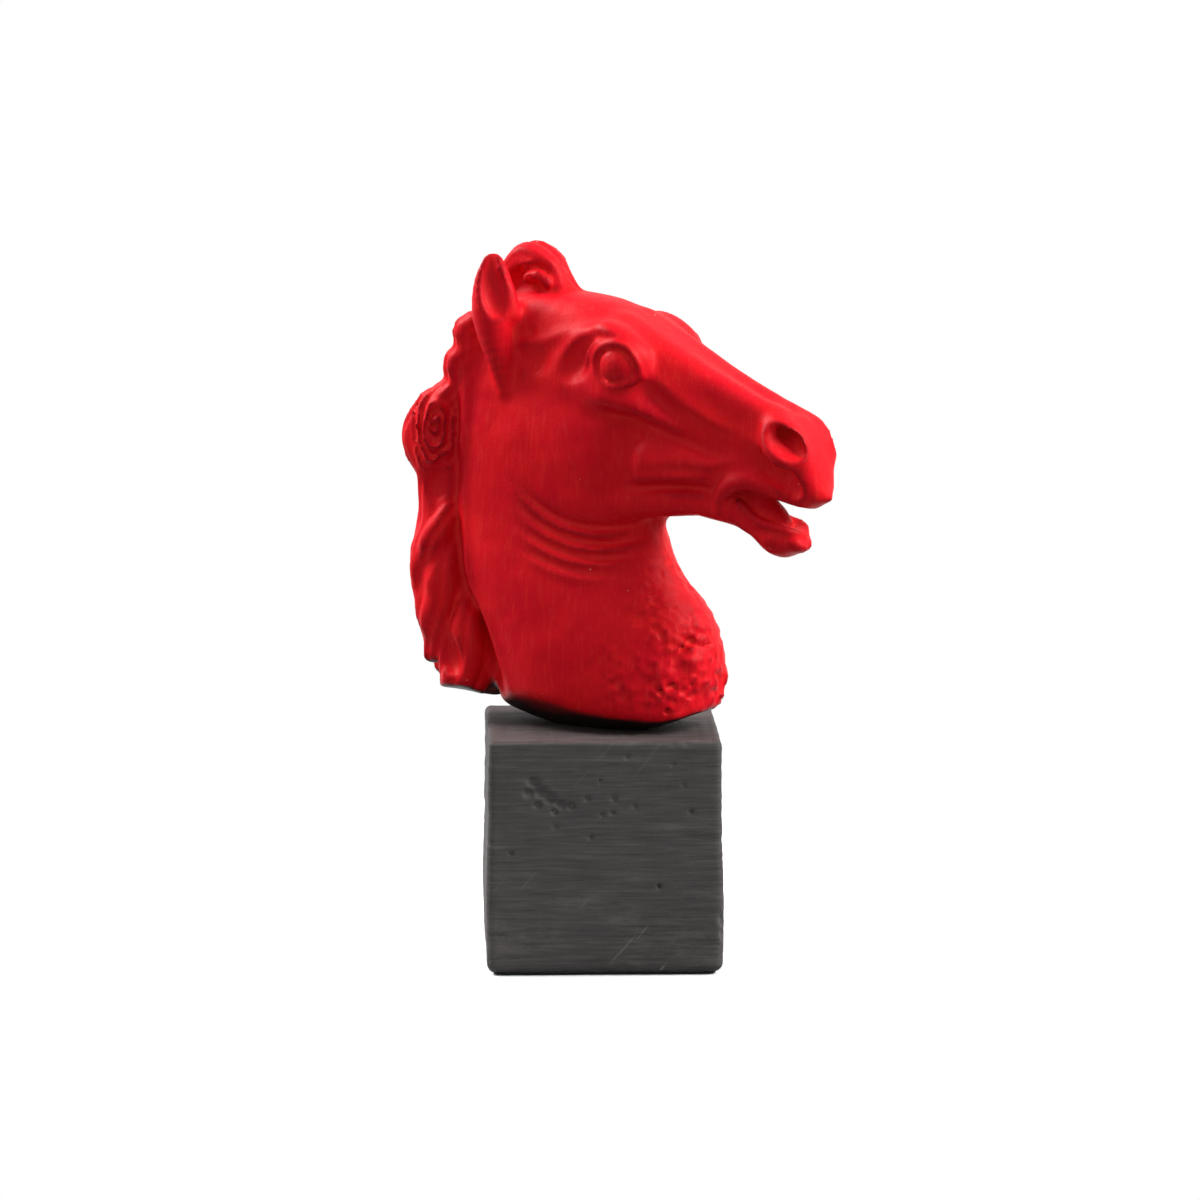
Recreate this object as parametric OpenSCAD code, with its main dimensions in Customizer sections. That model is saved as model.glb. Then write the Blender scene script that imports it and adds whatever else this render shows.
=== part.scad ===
// Horse-head bust drawn down on a cube plinth by a threaded rod.
// Origin: centre of the underside, on the surface it stands on. +Z up, the muzzle points to +X and -Y.

/* [Plinth] */
// Width and depth of the plinth
plinth_w = 90; // [70:1:140]
// Height of the plinth without its felt
plinth_h = 90; // [50:1:140]
// Radius of the plinth's edges
plinth_edge_r = 2.5; // [1:0.5:6]

/* [Bust] */
// Height of the bust from its seat to the top of the forelock
bust_h = 186; // [140:1:260]
// Turn of the neck from +X towards -Y, in degrees
neck_turn = 20; // [10:1:30]
// Turn of the head from +X towards -Y, in degrees
head_turn = 33; // [25:1:40]
// Nod of the face below the level, in degrees
head_nod = 24; // [18:1:30]
// Grid step of the modelled surface on the neck
neck_cell = 5.2; // [5:0.2:8]
// Grid step of the modelled surface on the head
head_cell = 3.7; // [3.7:0.1:7]

/* [Fixing] */
// Diameter of the threaded rod
rod_d = 8; // [6:1:12]
// Length of the rod inside the bust
rod_grip = 30; // [20:1:40]
// Length of the rod that stands out below the nut
rod_tail = 2; // [1:0.5:4]
// Gap round the rod in the plinth
rod_gap = 0.4; // [0.2:0.1:1]
// Wall of the sleeve in the neck
insert_wall = 3; // [2:0.5:5]
// Closed end of the sleeve
insert_end = 6; // [3:1:10]
// Glue gap round the sleeve
glue_gap = 0.15; // [0.1:0.05:0.4]
// Width of the nut beside the rod, at its flats
nut_rim = 2.5; // [2:0.5:5]
// Height of the nut
nut_h = 6.5; // [4:0.5:10]
// Width of the lock washer beside the rod
lock_rim = 3.2; // [2:0.2:5]
// Thickness of the lock washer
lock_t = 2; // [1:0.5:3]
// Split of the lock washer
lock_split = 1.2; // [0.6:0.2:2]
// Width of the flat washer beside the rod
washer_rim = 6; // [4:0.5:9]
// Thickness of the flat washer
washer_t = 1.6; // [1:0.2:3]
// Room round the flat washer in its pocket
pocket_gap = 2; // [1:0.5:5]
// Room below the rod in its pocket
tail_gap = 3; // [1:0.5:6]
// Chamfer of the rod's ends
chamfer = 0.6; // [0.3:0.1:1]

/* [Felt] */
// Thickness of the felt
felt_t = 1; // [0.8:0.2:3]
// Distance of the felt from the plinth's sides
felt_inset = 2; // [1:0.5:6]
// Corner radius of the felt
felt_r = 4; // [2:0.5:8]

/* [Hidden] */
$fn = 64;
OVERLAP = 1;

// Heights of the stack, from the surface up
seat_z = felt_t + plinth_h;
pocket_h = washer_t + lock_t + nut_h + rod_tail + tail_gap;
washer_z = felt_t + pocket_h - washer_t;
lock_z = washer_z - lock_t;
nut_z = lock_z - nut_h;
rod_z = nut_z - rod_tail;
rod_top = seat_z + rod_grip;
insert_l = rod_grip + insert_end;
insert_d = rod_d + 2 * insert_wall;
washer_d = rod_d + 2 * washer_rim;
pocket_d = washer_d + 2 * pocket_gap;
felt_w = plinth_w - 2 * felt_inset;

// Forms of the bust, in parts of 1/186 of its height. Depths are negative inside the bust.
MODEL_H = 186;
unit = bust_h / MODEL_H;

// Head axes: x along the face to the muzzle, y to the side, z up from the bridge of the nose
HEAD_AT = [22, -16, 155.7];
HEAD_IN = [
    [cos(head_nod) * cos(head_turn), -cos(head_nod) * sin(head_turn), -sin(head_nod)],
    [sin(head_turn), cos(head_turn), 0],
    [sin(head_nod) * cos(head_turn), -sin(head_nod) * sin(head_turn), cos(head_nod)],
];
// Neck axes: x to the throat, y to the side, z up from the seat
NECK_IN = [
    [cos(neck_turn), -sin(neck_turn), 0],
    [sin(neck_turn), cos(neck_turn), 0],
    [0, 0, 1],
];

// Skull along the face: place, top, bottom, half width, level of the greatest width
SKULL = [
    [-62, -17, -40, 11, -27],
    [-52, -10, -52, 16, -28],
    [-40, -4.5, -60, 19, -27],
    [-24, 0.4, -62, 21, -22],
    [-8, 1.6, -60, 21.5, -18],
    [8, 0.6, -56, 20, -19],
    [24, -1.2, -49, 17.5, -22],
    [40, -2.6, -43, 14.5, -24],
    [52, -3.2, -38.5, 12, -22],
    [62, -2.2, -34.5, 11.5, -18],
    [72, -2.6, -33.5, 12.5, -17],
    [80, -6, -33, 12, -19],
    [86, -12, -32, 9.5, -22],
    [89.5, -19, -30, 5, -24.5],
];
// Neck up from the seat: height, throat, crest, half width, sideways shift
NECK = [
    [-6, 44, -38, 24, 0],
    [6, 47, -39, 26.5, 0],
    [18, 49, -42, 28.5, 0],
    [28, 49, -45, 29, 0],
    [39, 46, -48.5, 28.5, 0],
    [48, 41, -52, 27.5, 0],
    [58, 33.3, -55.5, 26, 0],
    [68, 27.8, -57.5, 24, 0],
    [78, 25, -59, 22.5, 0.5],
    [95, 18, -58.5, 21, 1],
    [124, 6, -56, 18, 2],
    [144, -6, -49, 15, 3],
    [160, -18, -40, 10, 4],
];

// Rounded forms: [centre, radii, tilt of the nose end downwards]
CHEEK = [[-8, 13, -51], [31, 11.5, 29], 0];
BROW = [[-3, 19.8, -5.6], [12.5, 6.8, 6.6], 8];
EYE_BED = [[-1, 19.5, -14.5], [13.5, 6.2, 11], -16];
EYE_SOCKET = [[0, 27, -13.2], [9, 6, 7.6], -22];
EYE_BALL = [[0.5, 21.8, -13.2], [7.5, 7, 7.5], 0];
TEMPLE_HOLLOW = [[-37, 27, -31], [9, 7.8, 5.8], -20];
NOSTRIL_WING = [[73, 10.5, -11.5], [12.5, 7, 8.6], 28];
NOSTRIL = [[74, 18, -8.9], [10.4, 7.4, 4.7], 16];
CHIN = [[80, 0, -49.5], [9, 8, 6.2], 0];
LOWER_LIP = [[86, 0, -46.6], [6.8, 7.4, 4.6], 0];
MANE_CURL = [[-64.8, 5, 110.5], [14.5, 10.5, 18.5], 0];
FORELOCK_CORE = [[-58, 0, -13], [10, 6.5, 11], 0];
FORELOCK_HOLLOW = [[-51, 10.2, -1.6], [7.6, 4.6, 4.6], -12];
MANE_HOLLOWS = [[[-63, 14.5, 84], [5, 6, 10], 15], [[-58, 17, 27], [5, 6, 9], -20]];

// Tapering forms: [place, radius] along each
JAW = [[[-29, 12, -63], 8.5], [[-16, 12.5, -72.5], 8.5], [[6, 12, -71.5], 8], [[26, 9, -60], 7],
       [[46, 6.5, -50], 5.4], [[64, 5.5, -46.5], 5], [[80, 4, -47], 5.4]];
THROAT = [[[-14, 0, -62], 15], [[20, 0, -54], 10], [[54, 0, -44], 6]];
CHEEK_MUSCLE = [[[22, 11, -45], 7.4], [[38, 10.2, -38.5], 6.8], [[54, 8.5, -34.5], 5.6]];
CHEEK_BONE = [[[-34, 17, -33], 4], [[-18, 20, -30], 4.2], [[0, 21, -27], 4.4], [[16, 19.6, -25.5], 4.2],
              [[32, 15.8, -25.2], 3.2], [[48, 11.5, -26.5], 2]];
NOSE_BONE = [[[-10, 9, -5.5], 6], [[30, 7.5, -7.2], 5], [[62, 6, -7.2], 5]];
BROW_RIDGE = [[[-22, 17.6, -31], 2.6], [[-26, 18.8, -21], 3], [[-23.6, 19, -12], 3.4],
              [[-17, 19.4, -4.8], 3.8]];
BROW_HOLLOW = [[[-17.5, 28.6, -27.4], 4.6], [[-17.8, 27.2, -22.8], 6.8], [[-17.2, 26.8, -17.6], 6.6],
               [[-14.8, 26.6, -12.4], 5.6], [[-10, 26.8, -8], 4], [[-5, 27.6, -5.2], 2.8]];
UPPER_LIP = [[[59, 8.5, -32], 3.6], [[70, 6.8, -29.8], 4.2], [[82, 5, -27], 5], [[84.5, 0, -26], 5.5]];
LIP_FOLD = [[[68, 10.4, -31.6], 2.2], [[62, 11.8, -33], 2.9], [[57.6, 11.6, -37.2], 3.2],
            [[55.4, 10.8, -43], 3], [[57.2, 9.8, -47.6], 2.2]];
WING_HOLLOW = [[[60, 14.6, -21.6], 4.6], [[69, 14.4, -22.8], 6.2], [[77, 12.8, -23], 5.6],
               [[81, 12, -23.6], 3.6]];
TONGUE = [[[58, 0, -38.4], 5.4], [[68, 0, -42], 5], [[73, 0, -43.4], 4]];
EAR = [[[-42.4, 20, -47], 1.6], [[-48, 20.6, -38], 4.6], [[-53.4, 21.2, -29], 7.4], [[-58.4, 21.6, -20], 9],
       [[-62.6, 21.6, -11.4], 7.8], [[-66.6, 21.2, -4], 3.8]];
EAR_RIM = [[[-65, 20, -4.4], 3.2], [[-59, 19, -6.8], 4], [[-52, 18, -10], 4.4], [[-46, 18, -15.5], 3.6]];
EAR_HOLLOW = [[[-47, 28, -17.5], 4.2], [[-50.5, 28, -16.4], 5.8], [[-54, 28, -12.6], 6.6],
              [[-58, 27.5, -8], 6], [[-62, 27, -3.6], 4.4]];
FORELOCK = [[[-66, 3, -17], 5], [[-67, 3.4, -9], 5.4], [[-63.5, 3.4, -1.2], 5.6], [[-55, 3, -1.6], 5.8],
            [[-47.5, 2.4, -5.6], 5.2], [[-40, 1, -7.6], 3.8]];
MANE_LOCKS = [
    [[[-44, 0, 152], 9], [[-54, 0, 126], 11], [[-57, 0, 92], 12], [[-56, 0, 60], 12], [[-50, 0, 24], 12]],
    [[[-42, 3, 158], 5], [[-51.6, 5.5, 153], 6.2], [[-53, 6, 144], 4.5]],
    [[[-48, 4, 147], 6], [[-55.4, 5.5, 140], 6.5], [[-56, 6, 131], 5.5], [[-64, 5, 123], 8]],
    [[[-64, 5, 98], 9], [[-65, 5, 84], 8], [[-67, 5.5, 68], 9], [[-68.5, 5, 57], 8.5], [[-66, 5, 47], 7]],
    [[[-60, 6, 72], 7], [[-62, 7, 54], 9], [[-64.5, 7, 40], 8.5], [[-67, 6, 32], 6.5], [[-72, 6, 28], 4]],
    [[[-50, 6, 52], 7], [[-52, 8, 36], 9.5], [[-54, 8, 22], 10], [[-56, 7, 8], 9]],
];

// Ridges and grooves drawn on the side of the head: [width, height, places along and up].
// The ridge over the temple, the break of the nose, the cheek bone, the hollow below it, the cheek's front
// and the muscle before it
HEAD_MARKS = [
    [2.6, 1.1, [[-48, -31], [-43, -27.2], [-34, -21], [-27, -14], [-20, -6]]],
    [3.2, -1.9, [[8, -12], [16, -15], [25, -16.6], [37, -18.6], [49, -20], [62, -19]]],
    [2.8, 2, [[-6, -29.6], [4, -27], [14, -23.8], [23, -22.6], [32, -23.4], [42, -25]]],
    [3.6, -2.3, [[-8, -36.5], [2, -34], [9, -31.8], [22, -28.6], [34, -28.4], [46, -28.6], [58, -28]]],
    [4.6, -2.8, [[17, -29], [14, -35], [13.4, -41], [15.4, -49], [17, -58], [17.4, -68]]],
    [4.6, 1.4, [[24, -53], [21.6, -46], [22, -39.4], [27, -34.4], [35, -32.6], [45, -33], [54, -33.6]]],
];
// The same on the side of the neck: the groove between the neck's skin and the mane
NECK_MARKS = [
    [3.4, -3.6, [[-50, 150], [-56, 134], [-56.5, 106], [-56, 78], [-53, 55], [-45, 40], [-37, 18], [-34, 6]]],
];
// Each fades over MARK_FADE of its run at both ends, and lies farther than MARK_FROM from the middle
MARK_FADE = 0.25;
MARK_FROM = 6;
MARK_REACH = 3;

// Opening of the mouth along the face: place, upper edge, lower edge
MOUTH_FROM = 58;
MOUTH_UPPER = [[58, -38], [66, -36.2], [74, -34.2], [81, -33], [86, -32.4], [100, -32]];
MOUTH_LOWER = [[58, -39], [66, -39.6], [74, -40], [81, -40], [86, -41.4], [92, -46], [100, -50]];

// Underside: it rises from the seat by UNDER_RISE within about UNDER_RUN, and to the sides by a parabola
UNDER_RISE = 13;
UNDER_RUN = 25;
UNDER_SIDE = 75;
SEAT_CUT = 2;

// Widths over which forms run into each other
BLEND_BROAD = 7;
BLEND = 4;
BLEND_TIGHT = 2;
BLEND_FINE = 1;
// Depths beyond which the small forms cannot reach the surface
DEEP = -12;
CLEAR = 26;
CLEAR_BEHIND = 32;
LOCK_REACH = 24;
// Ears, forelock and mane lie behind this place on the head's and the neck's axes
BEHIND = -28;

function smooth_min(a, b, width) =
    let (share = max(width - abs(a - b), 0) / width)
    min(a, b) - share * share * width / 4;
function smooth_max(a, b, width) = -smooth_min(-a, -b, width);
function limit(value, low, high) = max(low, min(high, value));

// Depth in a round bar whose radius runs from one end's to the other's
function limb(p, a, b) =
    let (run = b[0] - a[0], t = limit((p - a[0]) * run / (run * run), 0, 1))
    norm(p - a[0] - t * run) - a[1] - (b[1] - a[1]) * t;
function chain(p, ends) = min([for (i = [1 : len(ends) - 1]) limb(p, ends[i - 1], ends[i])]);

// Depth in a rounded form tilted about its sideways axis
function egg(p, form) =
    let (
        q = p - form[0],
        c = cos(form[2]),
        s = sin(form[2]),
        x = (c * q.x - s * q.z) / form[1].x,
        y = q.y / form[1].y,
        z = (s * q.x + c * q.z) / form[1].z,
        near = norm([x, y, z]),
        slope = norm([x / form[1].x, y / form[1].y, z / form[1].z])
    )
    near * (near - 1) / max(slope, 0.001);

// Height of a ridge, or of a groove where it is negative, over a place on the side
function from_line(p, ends) = min([
    for (i = [1 : len(ends) - 1])
        let (run = ends[i] - ends[i - 1], t = limit((p - ends[i - 1]) * run / (run * run), 0, 1))
        norm(p - ends[i - 1] - t * run),
]);
function eased(t) = let (u = limit(t, 0, 1)) u * u * (3 - 2 * u);
function mark_height(p, mark) =
    let (
        ends = mark[2],
        far = from_line(p, ends) / mark[0],
        fade = MARK_FADE * norm(ends[len(ends) - 1] - ends[0])
    )
    far > MARK_REACH ? 0 :
    mark[1] * exp(-far * far) * eased(norm(p - ends[0]) / fade) * eased(norm(p - ends[len(ends) - 1]) / fade);
function marked(q, depth, marks) =
    q.y < MARK_FROM ? depth :
    depth - [for (mark = marks) 1] * [for (mark = marks) mark_height([q.x, q.z], mark)];

// Even steps of a smooth line through one column of stations
LINE_STEPS = 4;
function slope_at(rows, column, i) =
    let (a = max(i - 1, 0), b = min(i + 1, len(rows) - 1))
    (rows[b][column] - rows[a][column]) / (rows[b][0] - rows[a][0]);
function line_through(rows, column) = [
    for (i = [0 : len(rows) - 2])
        for (n = [0 : LINE_STEPS - (i < len(rows) - 2 ? 1 : 0)])
            let (
                t = n / LINE_STEPS,
                run = rows[i + 1][0] - rows[i][0],
                from = rows[i][column],
                to = rows[i + 1][column],
                out = slope_at(rows, column, i) * run,
                in = slope_at(rows, column, i + 1) * run
            )
            [
                rows[i][0] + t * run,
                from + t * out
                    + t * t * (3 * (to - from) - 2 * out - in)
                    + t * t * t * (2 * (from - to) + out + in),
            ],
];
skull_top = line_through(SKULL, 1);
skull_bottom = line_through(SKULL, 2);
skull_half = line_through(SKULL, 3);
skull_level = line_through(SKULL, 4);
neck_front = line_through(NECK, 1);
neck_back = line_through(NECK, 2);
neck_half = line_through(NECK, 3);
neck_shift = line_through(NECK, 4);

// Depth in an oval section of two half sizes, with a power that squares its shoulders
function oval(u, v, half_u, half_v, power) =
    (pow(pow(abs(u) / half_u, power) + pow(abs(v) / half_v, power), 1 / power) - 1) * min(half_u, half_v);
function past_end(depth, over) = over == 0 ? depth : norm([max(depth, 0), over]) + min(depth, 0);

SKULL_SHOULDER = 2.5;
SKULL_BELLY = 2.2;
NECK_POWER = 2.2;
function skull(q) =
    let (
        x = limit(q.x, SKULL[0][0], SKULL[len(SKULL) - 1][0]),
        level = lookup(x, skull_level),
        above = q.z > level,
        half = above ? lookup(x, skull_top) - level : level - lookup(x, skull_bottom),
        depth = oval(q.y, q.z - level, lookup(x, skull_half), half, above ? SKULL_SHOULDER : SKULL_BELLY)
    )
    past_end(depth, abs(q.x - x));
function neck(q) =
    let (
        z = limit(q.z, NECK[0][0], NECK[len(NECK) - 1][0]),
        front = lookup(z, neck_front),
        back = lookup(z, neck_back),
        x = q.x - (front + back) / 2,
        depth = oval(x, q.y - lookup(z, neck_shift), (front - back) / 2, lookup(z, neck_half), NECK_POWER)
    )
    past_end(depth, abs(q.z - z));

// Forms added to and cut from the skull, region by region
JAW_TO = 70;
JAW_BELOW = -8;
EYE_TO = 60;
EYE_ABOVE = -45;
MUZZLE_FROM = 45;
function with_jaw(q, depth) =
    q.x > JAW_TO || q.z > JAW_BELOW ? depth :
    let (
        cheek = smooth_min(depth, egg(q, CHEEK), BLEND),
        jaw = smooth_min(cheek, chain(q, JAW), BLEND),
        throat = smooth_min(jaw, chain(q, THROAT), BLEND_BROAD)
    )
    smooth_min(throat, chain(q, CHEEK_MUSCLE), BLEND);
function with_eye(q, depth) =
    q.x > EYE_TO || q.z < EYE_ABOVE ? depth :
    let (
        brow = smooth_min(depth, egg(q, BROW), BLEND),
        bed = smooth_min(brow, egg(q, EYE_BED), BLEND),
        bone = smooth_min(bed, chain(q, CHEEK_BONE), BLEND),
        nose = smooth_min(bone, chain(q, NOSE_BONE), BLEND),
        temple = smooth_max(nose, -egg(q, TEMPLE_HOLLOW), BLEND),
        ridge = smooth_min(temple, chain(q, BROW_RIDGE), BLEND),
        hollow = smooth_max(ridge, -chain(q, BROW_HOLLOW), BLEND_TIGHT),
        socket = smooth_max(hollow, -egg(q, EYE_SOCKET), BLEND_TIGHT)
    )
    smooth_min(socket, egg(q, EYE_BALL), BLEND_FINE);
function mouth(q) =
    max(q.z - lookup(q.x, MOUTH_UPPER), lookup(q.x, MOUTH_LOWER) - q.z, MOUTH_FROM - q.x);
function with_muzzle(q, depth) =
    q.x < MUZZLE_FROM ? depth :
    let (
        wing = smooth_min(depth, egg(q, NOSTRIL_WING), BLEND),
        upper = smooth_min(wing, chain(q, UPPER_LIP), BLEND),
        jaw = smooth_min(upper, chain(q, JAW), BLEND),
        chin = smooth_min(jaw, egg(q, CHIN), BLEND),
        lower = smooth_min(chin, egg(q, LOWER_LIP), BLEND_TIGHT),
        open = smooth_max(lower, -mouth(q), BLEND_TIGHT),
        tongue = smooth_min(open, chain(q, TONGUE), BLEND_TIGHT),
        hollow = smooth_max(tongue, -chain(q, WING_HOLLOW), BLEND),
        fold = smooth_min(hollow, chain(q, LIP_FOLD), BLEND_TIGHT)
    )
    smooth_max(fold, -egg(q, NOSTRIL), BLEND);

// Ears and forelock, on the head's axes
FORELOCK_SHIFT = 1;
function with_ears(h, depth) =
    h.x > BEHIND ? depth :
    let (
        q = [h.x, abs(h.y), h.z],
        f = [h.x, abs(h.y - FORELOCK_SHIFT), h.z],
        shell = smooth_min(chain(q, EAR), chain(q, EAR_RIM), BLEND),
        ear = smooth_max(shell, -chain(q, EAR_HOLLOW), BLEND_TIGHT),
        lock = smooth_min(chain(f, FORELOCK), egg(f, FORELOCK_CORE), BLEND),
        crown = smooth_min(smooth_min(depth, ear, BLEND), lock, BLEND)
    )
    smooth_max(crown, -egg(f, FORELOCK_HOLLOW), BLEND_TIGHT);

// Mane on the neck's axes: the far side's locks hang lower than the near side's
MANE_SHIFT = 1;
MANE_DROP = 4;
MANE_DROP_RUN = 5;
function with_mane(n, depth) =
    n.x > BEHIND ? depth :
    let (
        y = n.y - MANE_SHIFT,
        q = [n.x, abs(y), n.z + MANE_DROP * (1 + y / norm([y, MANE_DROP_RUN]))],
        locks = min([
            for (lock = MANE_LOCKS)
                if (q.z < lock[0][0].z + LOCK_REACH && q.z > lock[len(lock) - 1][0].z - LOCK_REACH)
                    chain(q, lock),
            LOCK_REACH,
        ]),
        hair = smooth_min(smooth_min(depth, locks, BLEND), egg(q, MANE_CURL), BLEND),
        edged = marked([n.x, abs(y), n.z], hair, NECK_MARKS)
    )
    smooth_max(edged, -min([for (hollow = MANE_HOLLOWS) egg(q, hollow)]), BLEND_TIGHT);

function underside(n) =
    UNDER_RISE * (1 - exp(-pow(n.x / UNDER_RUN, 2))) + n.y * n.y / UNDER_SIDE - SEAT_CUT - n.z;
function bust_depth(p) =
    let (
        n = NECK_IN * p,
        h = HEAD_IN * (p - HEAD_AT),
        q = [h.x, abs(h.y), h.z],
        bone = skull(q),
        trunk = neck(n),
        core = smooth_min(bone, trunk, BLEND_BROAD),
        clear = n.x < BEHIND || h.x < BEHIND ? CLEAR_BEHIND : CLEAR,
        whole = core < DEEP || core > clear
            ? core
            : let (head = with_muzzle(q, marked(q, with_eye(q, with_jaw(q, bone)), HEAD_MARKS)))
              with_mane(n, with_ears(h, smooth_min(head, trunk, BLEND_BROAD)))
    )
    smooth_max(whole, underside(n), BLEND_TIGHT);

// Surface of the bust: one corner in each cell that it crosses of a grid laid along the head's axes
GRID_LOW = [-122, -54, -182];
GRID_HIGH = [106, 54, 24];
HEAD_LEVEL = -84;
function grid_lines(low, high, step) =
    let (count = ceil((high - low) / step))
    [for (i = [0 : count]) low + (high - low) * i / count];
xs = grid_lines(GRID_LOW.x, GRID_HIGH.x, head_cell);
ys = grid_lines(GRID_LOW.y, GRID_HIGH.y, head_cell);
z_low = grid_lines(GRID_LOW.z, HEAD_LEVEL, neck_cell);
z_high = grid_lines(HEAD_LEVEL, GRID_HIGH.z, head_cell);
zs = concat([for (i = [0 : len(z_low) - 2]) z_low[i]], z_high);
function in_bust(q) = HEAD_AT + q * HEAD_IN;

CORNERS = [for (i = [0, 1]) for (j = [0, 1]) for (k = [0, 1]) [i, j, k]];
EDGES = [
    for (a = CORNERS)
        for (b = CORNERS)
            if ((b - a) * [1, 1, 1] == 1 && norm(b - a) == 1)
                [a, b],
];
function place(c) = [xs[c.x], ys[c.y], zs[c.z]];
function value(depths, c) = depths[c.x][c.y][c.z];
function crossed(depths, i, j, k) =
    let (
        around = [for (c = CORNERS) depths[i + c.x][j + c.y][k + c.z]]
    )
    min(around) < 0 && max(around) >= 0;
// A corner lies on the surface, no nearer than CELL_RIM to its cell's sides
CELL_RIM = 0.2;
TOUCH = 0.1;
FLATTEST = 0.3;
function onto_surface(q, low, high) =
    let (
        depth = bust_depth(in_bust(q)),
        slope = [for (step = STEPS) bust_depth(in_bust(q + TOUCH * step)) - depth] / TOUCH,
        moved = q - slope * depth / max(slope * slope, FLATTEST)
    )
    [for (a = [0 : 2]) limit(moved[a], low[a] + CELL_RIM, high[a] - CELL_RIM)];
function cell_corner(depths, cell) =
    let (
        crossings = [
            for (e = EDGES)
                let (
                    from = value(depths, cell + e[0]),
                    to = value(depths, cell + e[1])
                )
                if ((from < 0) != (to < 0))
                    place(cell + e[0]) + (place(cell + e[1]) - place(cell + e[0])) * from / (from - to),
        ]
    )
    onto_surface([for (c = crossings) 1] * crossings / len(crossings), place(cell), place(cell + [1, 1, 1]));
function running_total(counts) = [
    for (i = 0, total = 0; i < len(counts); total = total + counts[i], i = i + 1)
        total,
];

// A notch or a bridge narrower than the grid is filled, so that the surface never touches itself
STEPS = [[1, 0, 0], [0, 1, 0], [0, 0, 1]];
QUARTERS = [
    for (a = [0 : 1])
        for (b = [a + 1 : 2])
            for (s = [-1, 1])
                for (t = [-1, 1])
                    [s * STEPS[a], t * STEPS[b]],
];
DIAGONALS = [for (s = [-1, 1]) for (t = [-1, 1]) for (r = [-1, 1]) [s, t, r]];
FILLED = -0.4;
NOTCH_REACH = 5;
NOTCH_PASSES = 2;
// The two outer corners of a grid square whose other two corners are inside: the shallower one is filled
function notched(depths, c, depth) =
    len([
        for (q = QUARTERS)
            if (value(depths, c + q[0]) < 0 && value(depths, c + q[1]) < 0
                && value(depths, c + q[0] + q[1]) >= depth)
                q,
    ]) > 0;
// Two opposite corners of a grid cell that agree with each other and with none of the other six
function differs(depths, c, depth) = (value(depths, c) < 0) != (depth < 0);
function opposed(depths, c, depth) =
    len([
        for (d = DIAGONALS)
            if (!differs(depths, c + d, depth)
                && differs(depths, c + [d.x, 0, 0], depth)
                && differs(depths, c + [0, d.y, 0], depth)
                && differs(depths, c + [0, 0, d.z], depth)
                && differs(depths, c + [d.x, d.y, 0], depth)
                && differs(depths, c + [d.x, 0, d.z], depth)
                && differs(depths, c + [0, d.y, d.z], depth))
                d,
    ]) > 0;
function settled(depths, c, depth) =
    depth >= 0 && notched(depths, c, depth) ? FILLED :
    opposed(depths, c, depth) ? (depth < 0 ? -FILLED : FILLED) :
    depth;
function filled(depths, passes) =
    passes == 0 ? depths :
    filled([
        for (i = [0 : len(depths) - 1]) [
            for (j = [0 : len(depths[i]) - 1]) [
                for (k = [0 : len(depths[i][j]) - 1])
                    let (depth = depths[i][j][k])
                    abs(depth) < NOTCH_REACH ? settled(depths, [i, j, k], depth) : depth,
            ],
        ],
    ], passes - 1);

// Depths at the grid points: far from the surface, the depth of the nearest point of a coarser grid will do
COARSE = 3;
COARSE_REACH = 16;
function bust_depths() =
    let (
        coarse = [
            for (i = [0 : COARSE : len(xs) + 1]) [
                for (j = [0 : COARSE : len(ys) + 1]) [
                    for (k = [0 : COARSE : len(zs) + 1])
                        let (c = [min(i, len(xs) - 1), min(j, len(ys) - 1), min(k, len(zs) - 1)])
                        bust_depth(in_bust(place(c))),
                ],
            ],
        ]
    )
    [
        for (i = [0 : len(xs) - 1]) [
            for (j = [0 : len(ys) - 1]) [
                for (k = [0 : len(zs) - 1])
                    let (rough = coarse[round(i / COARSE)][round(j / COARSE)][round(k / COARSE)])
                    abs(rough) > COARSE_REACH ? rough : bust_depth(in_bust(place([i, j, k]))),
            ],
        ],
    ];

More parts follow.
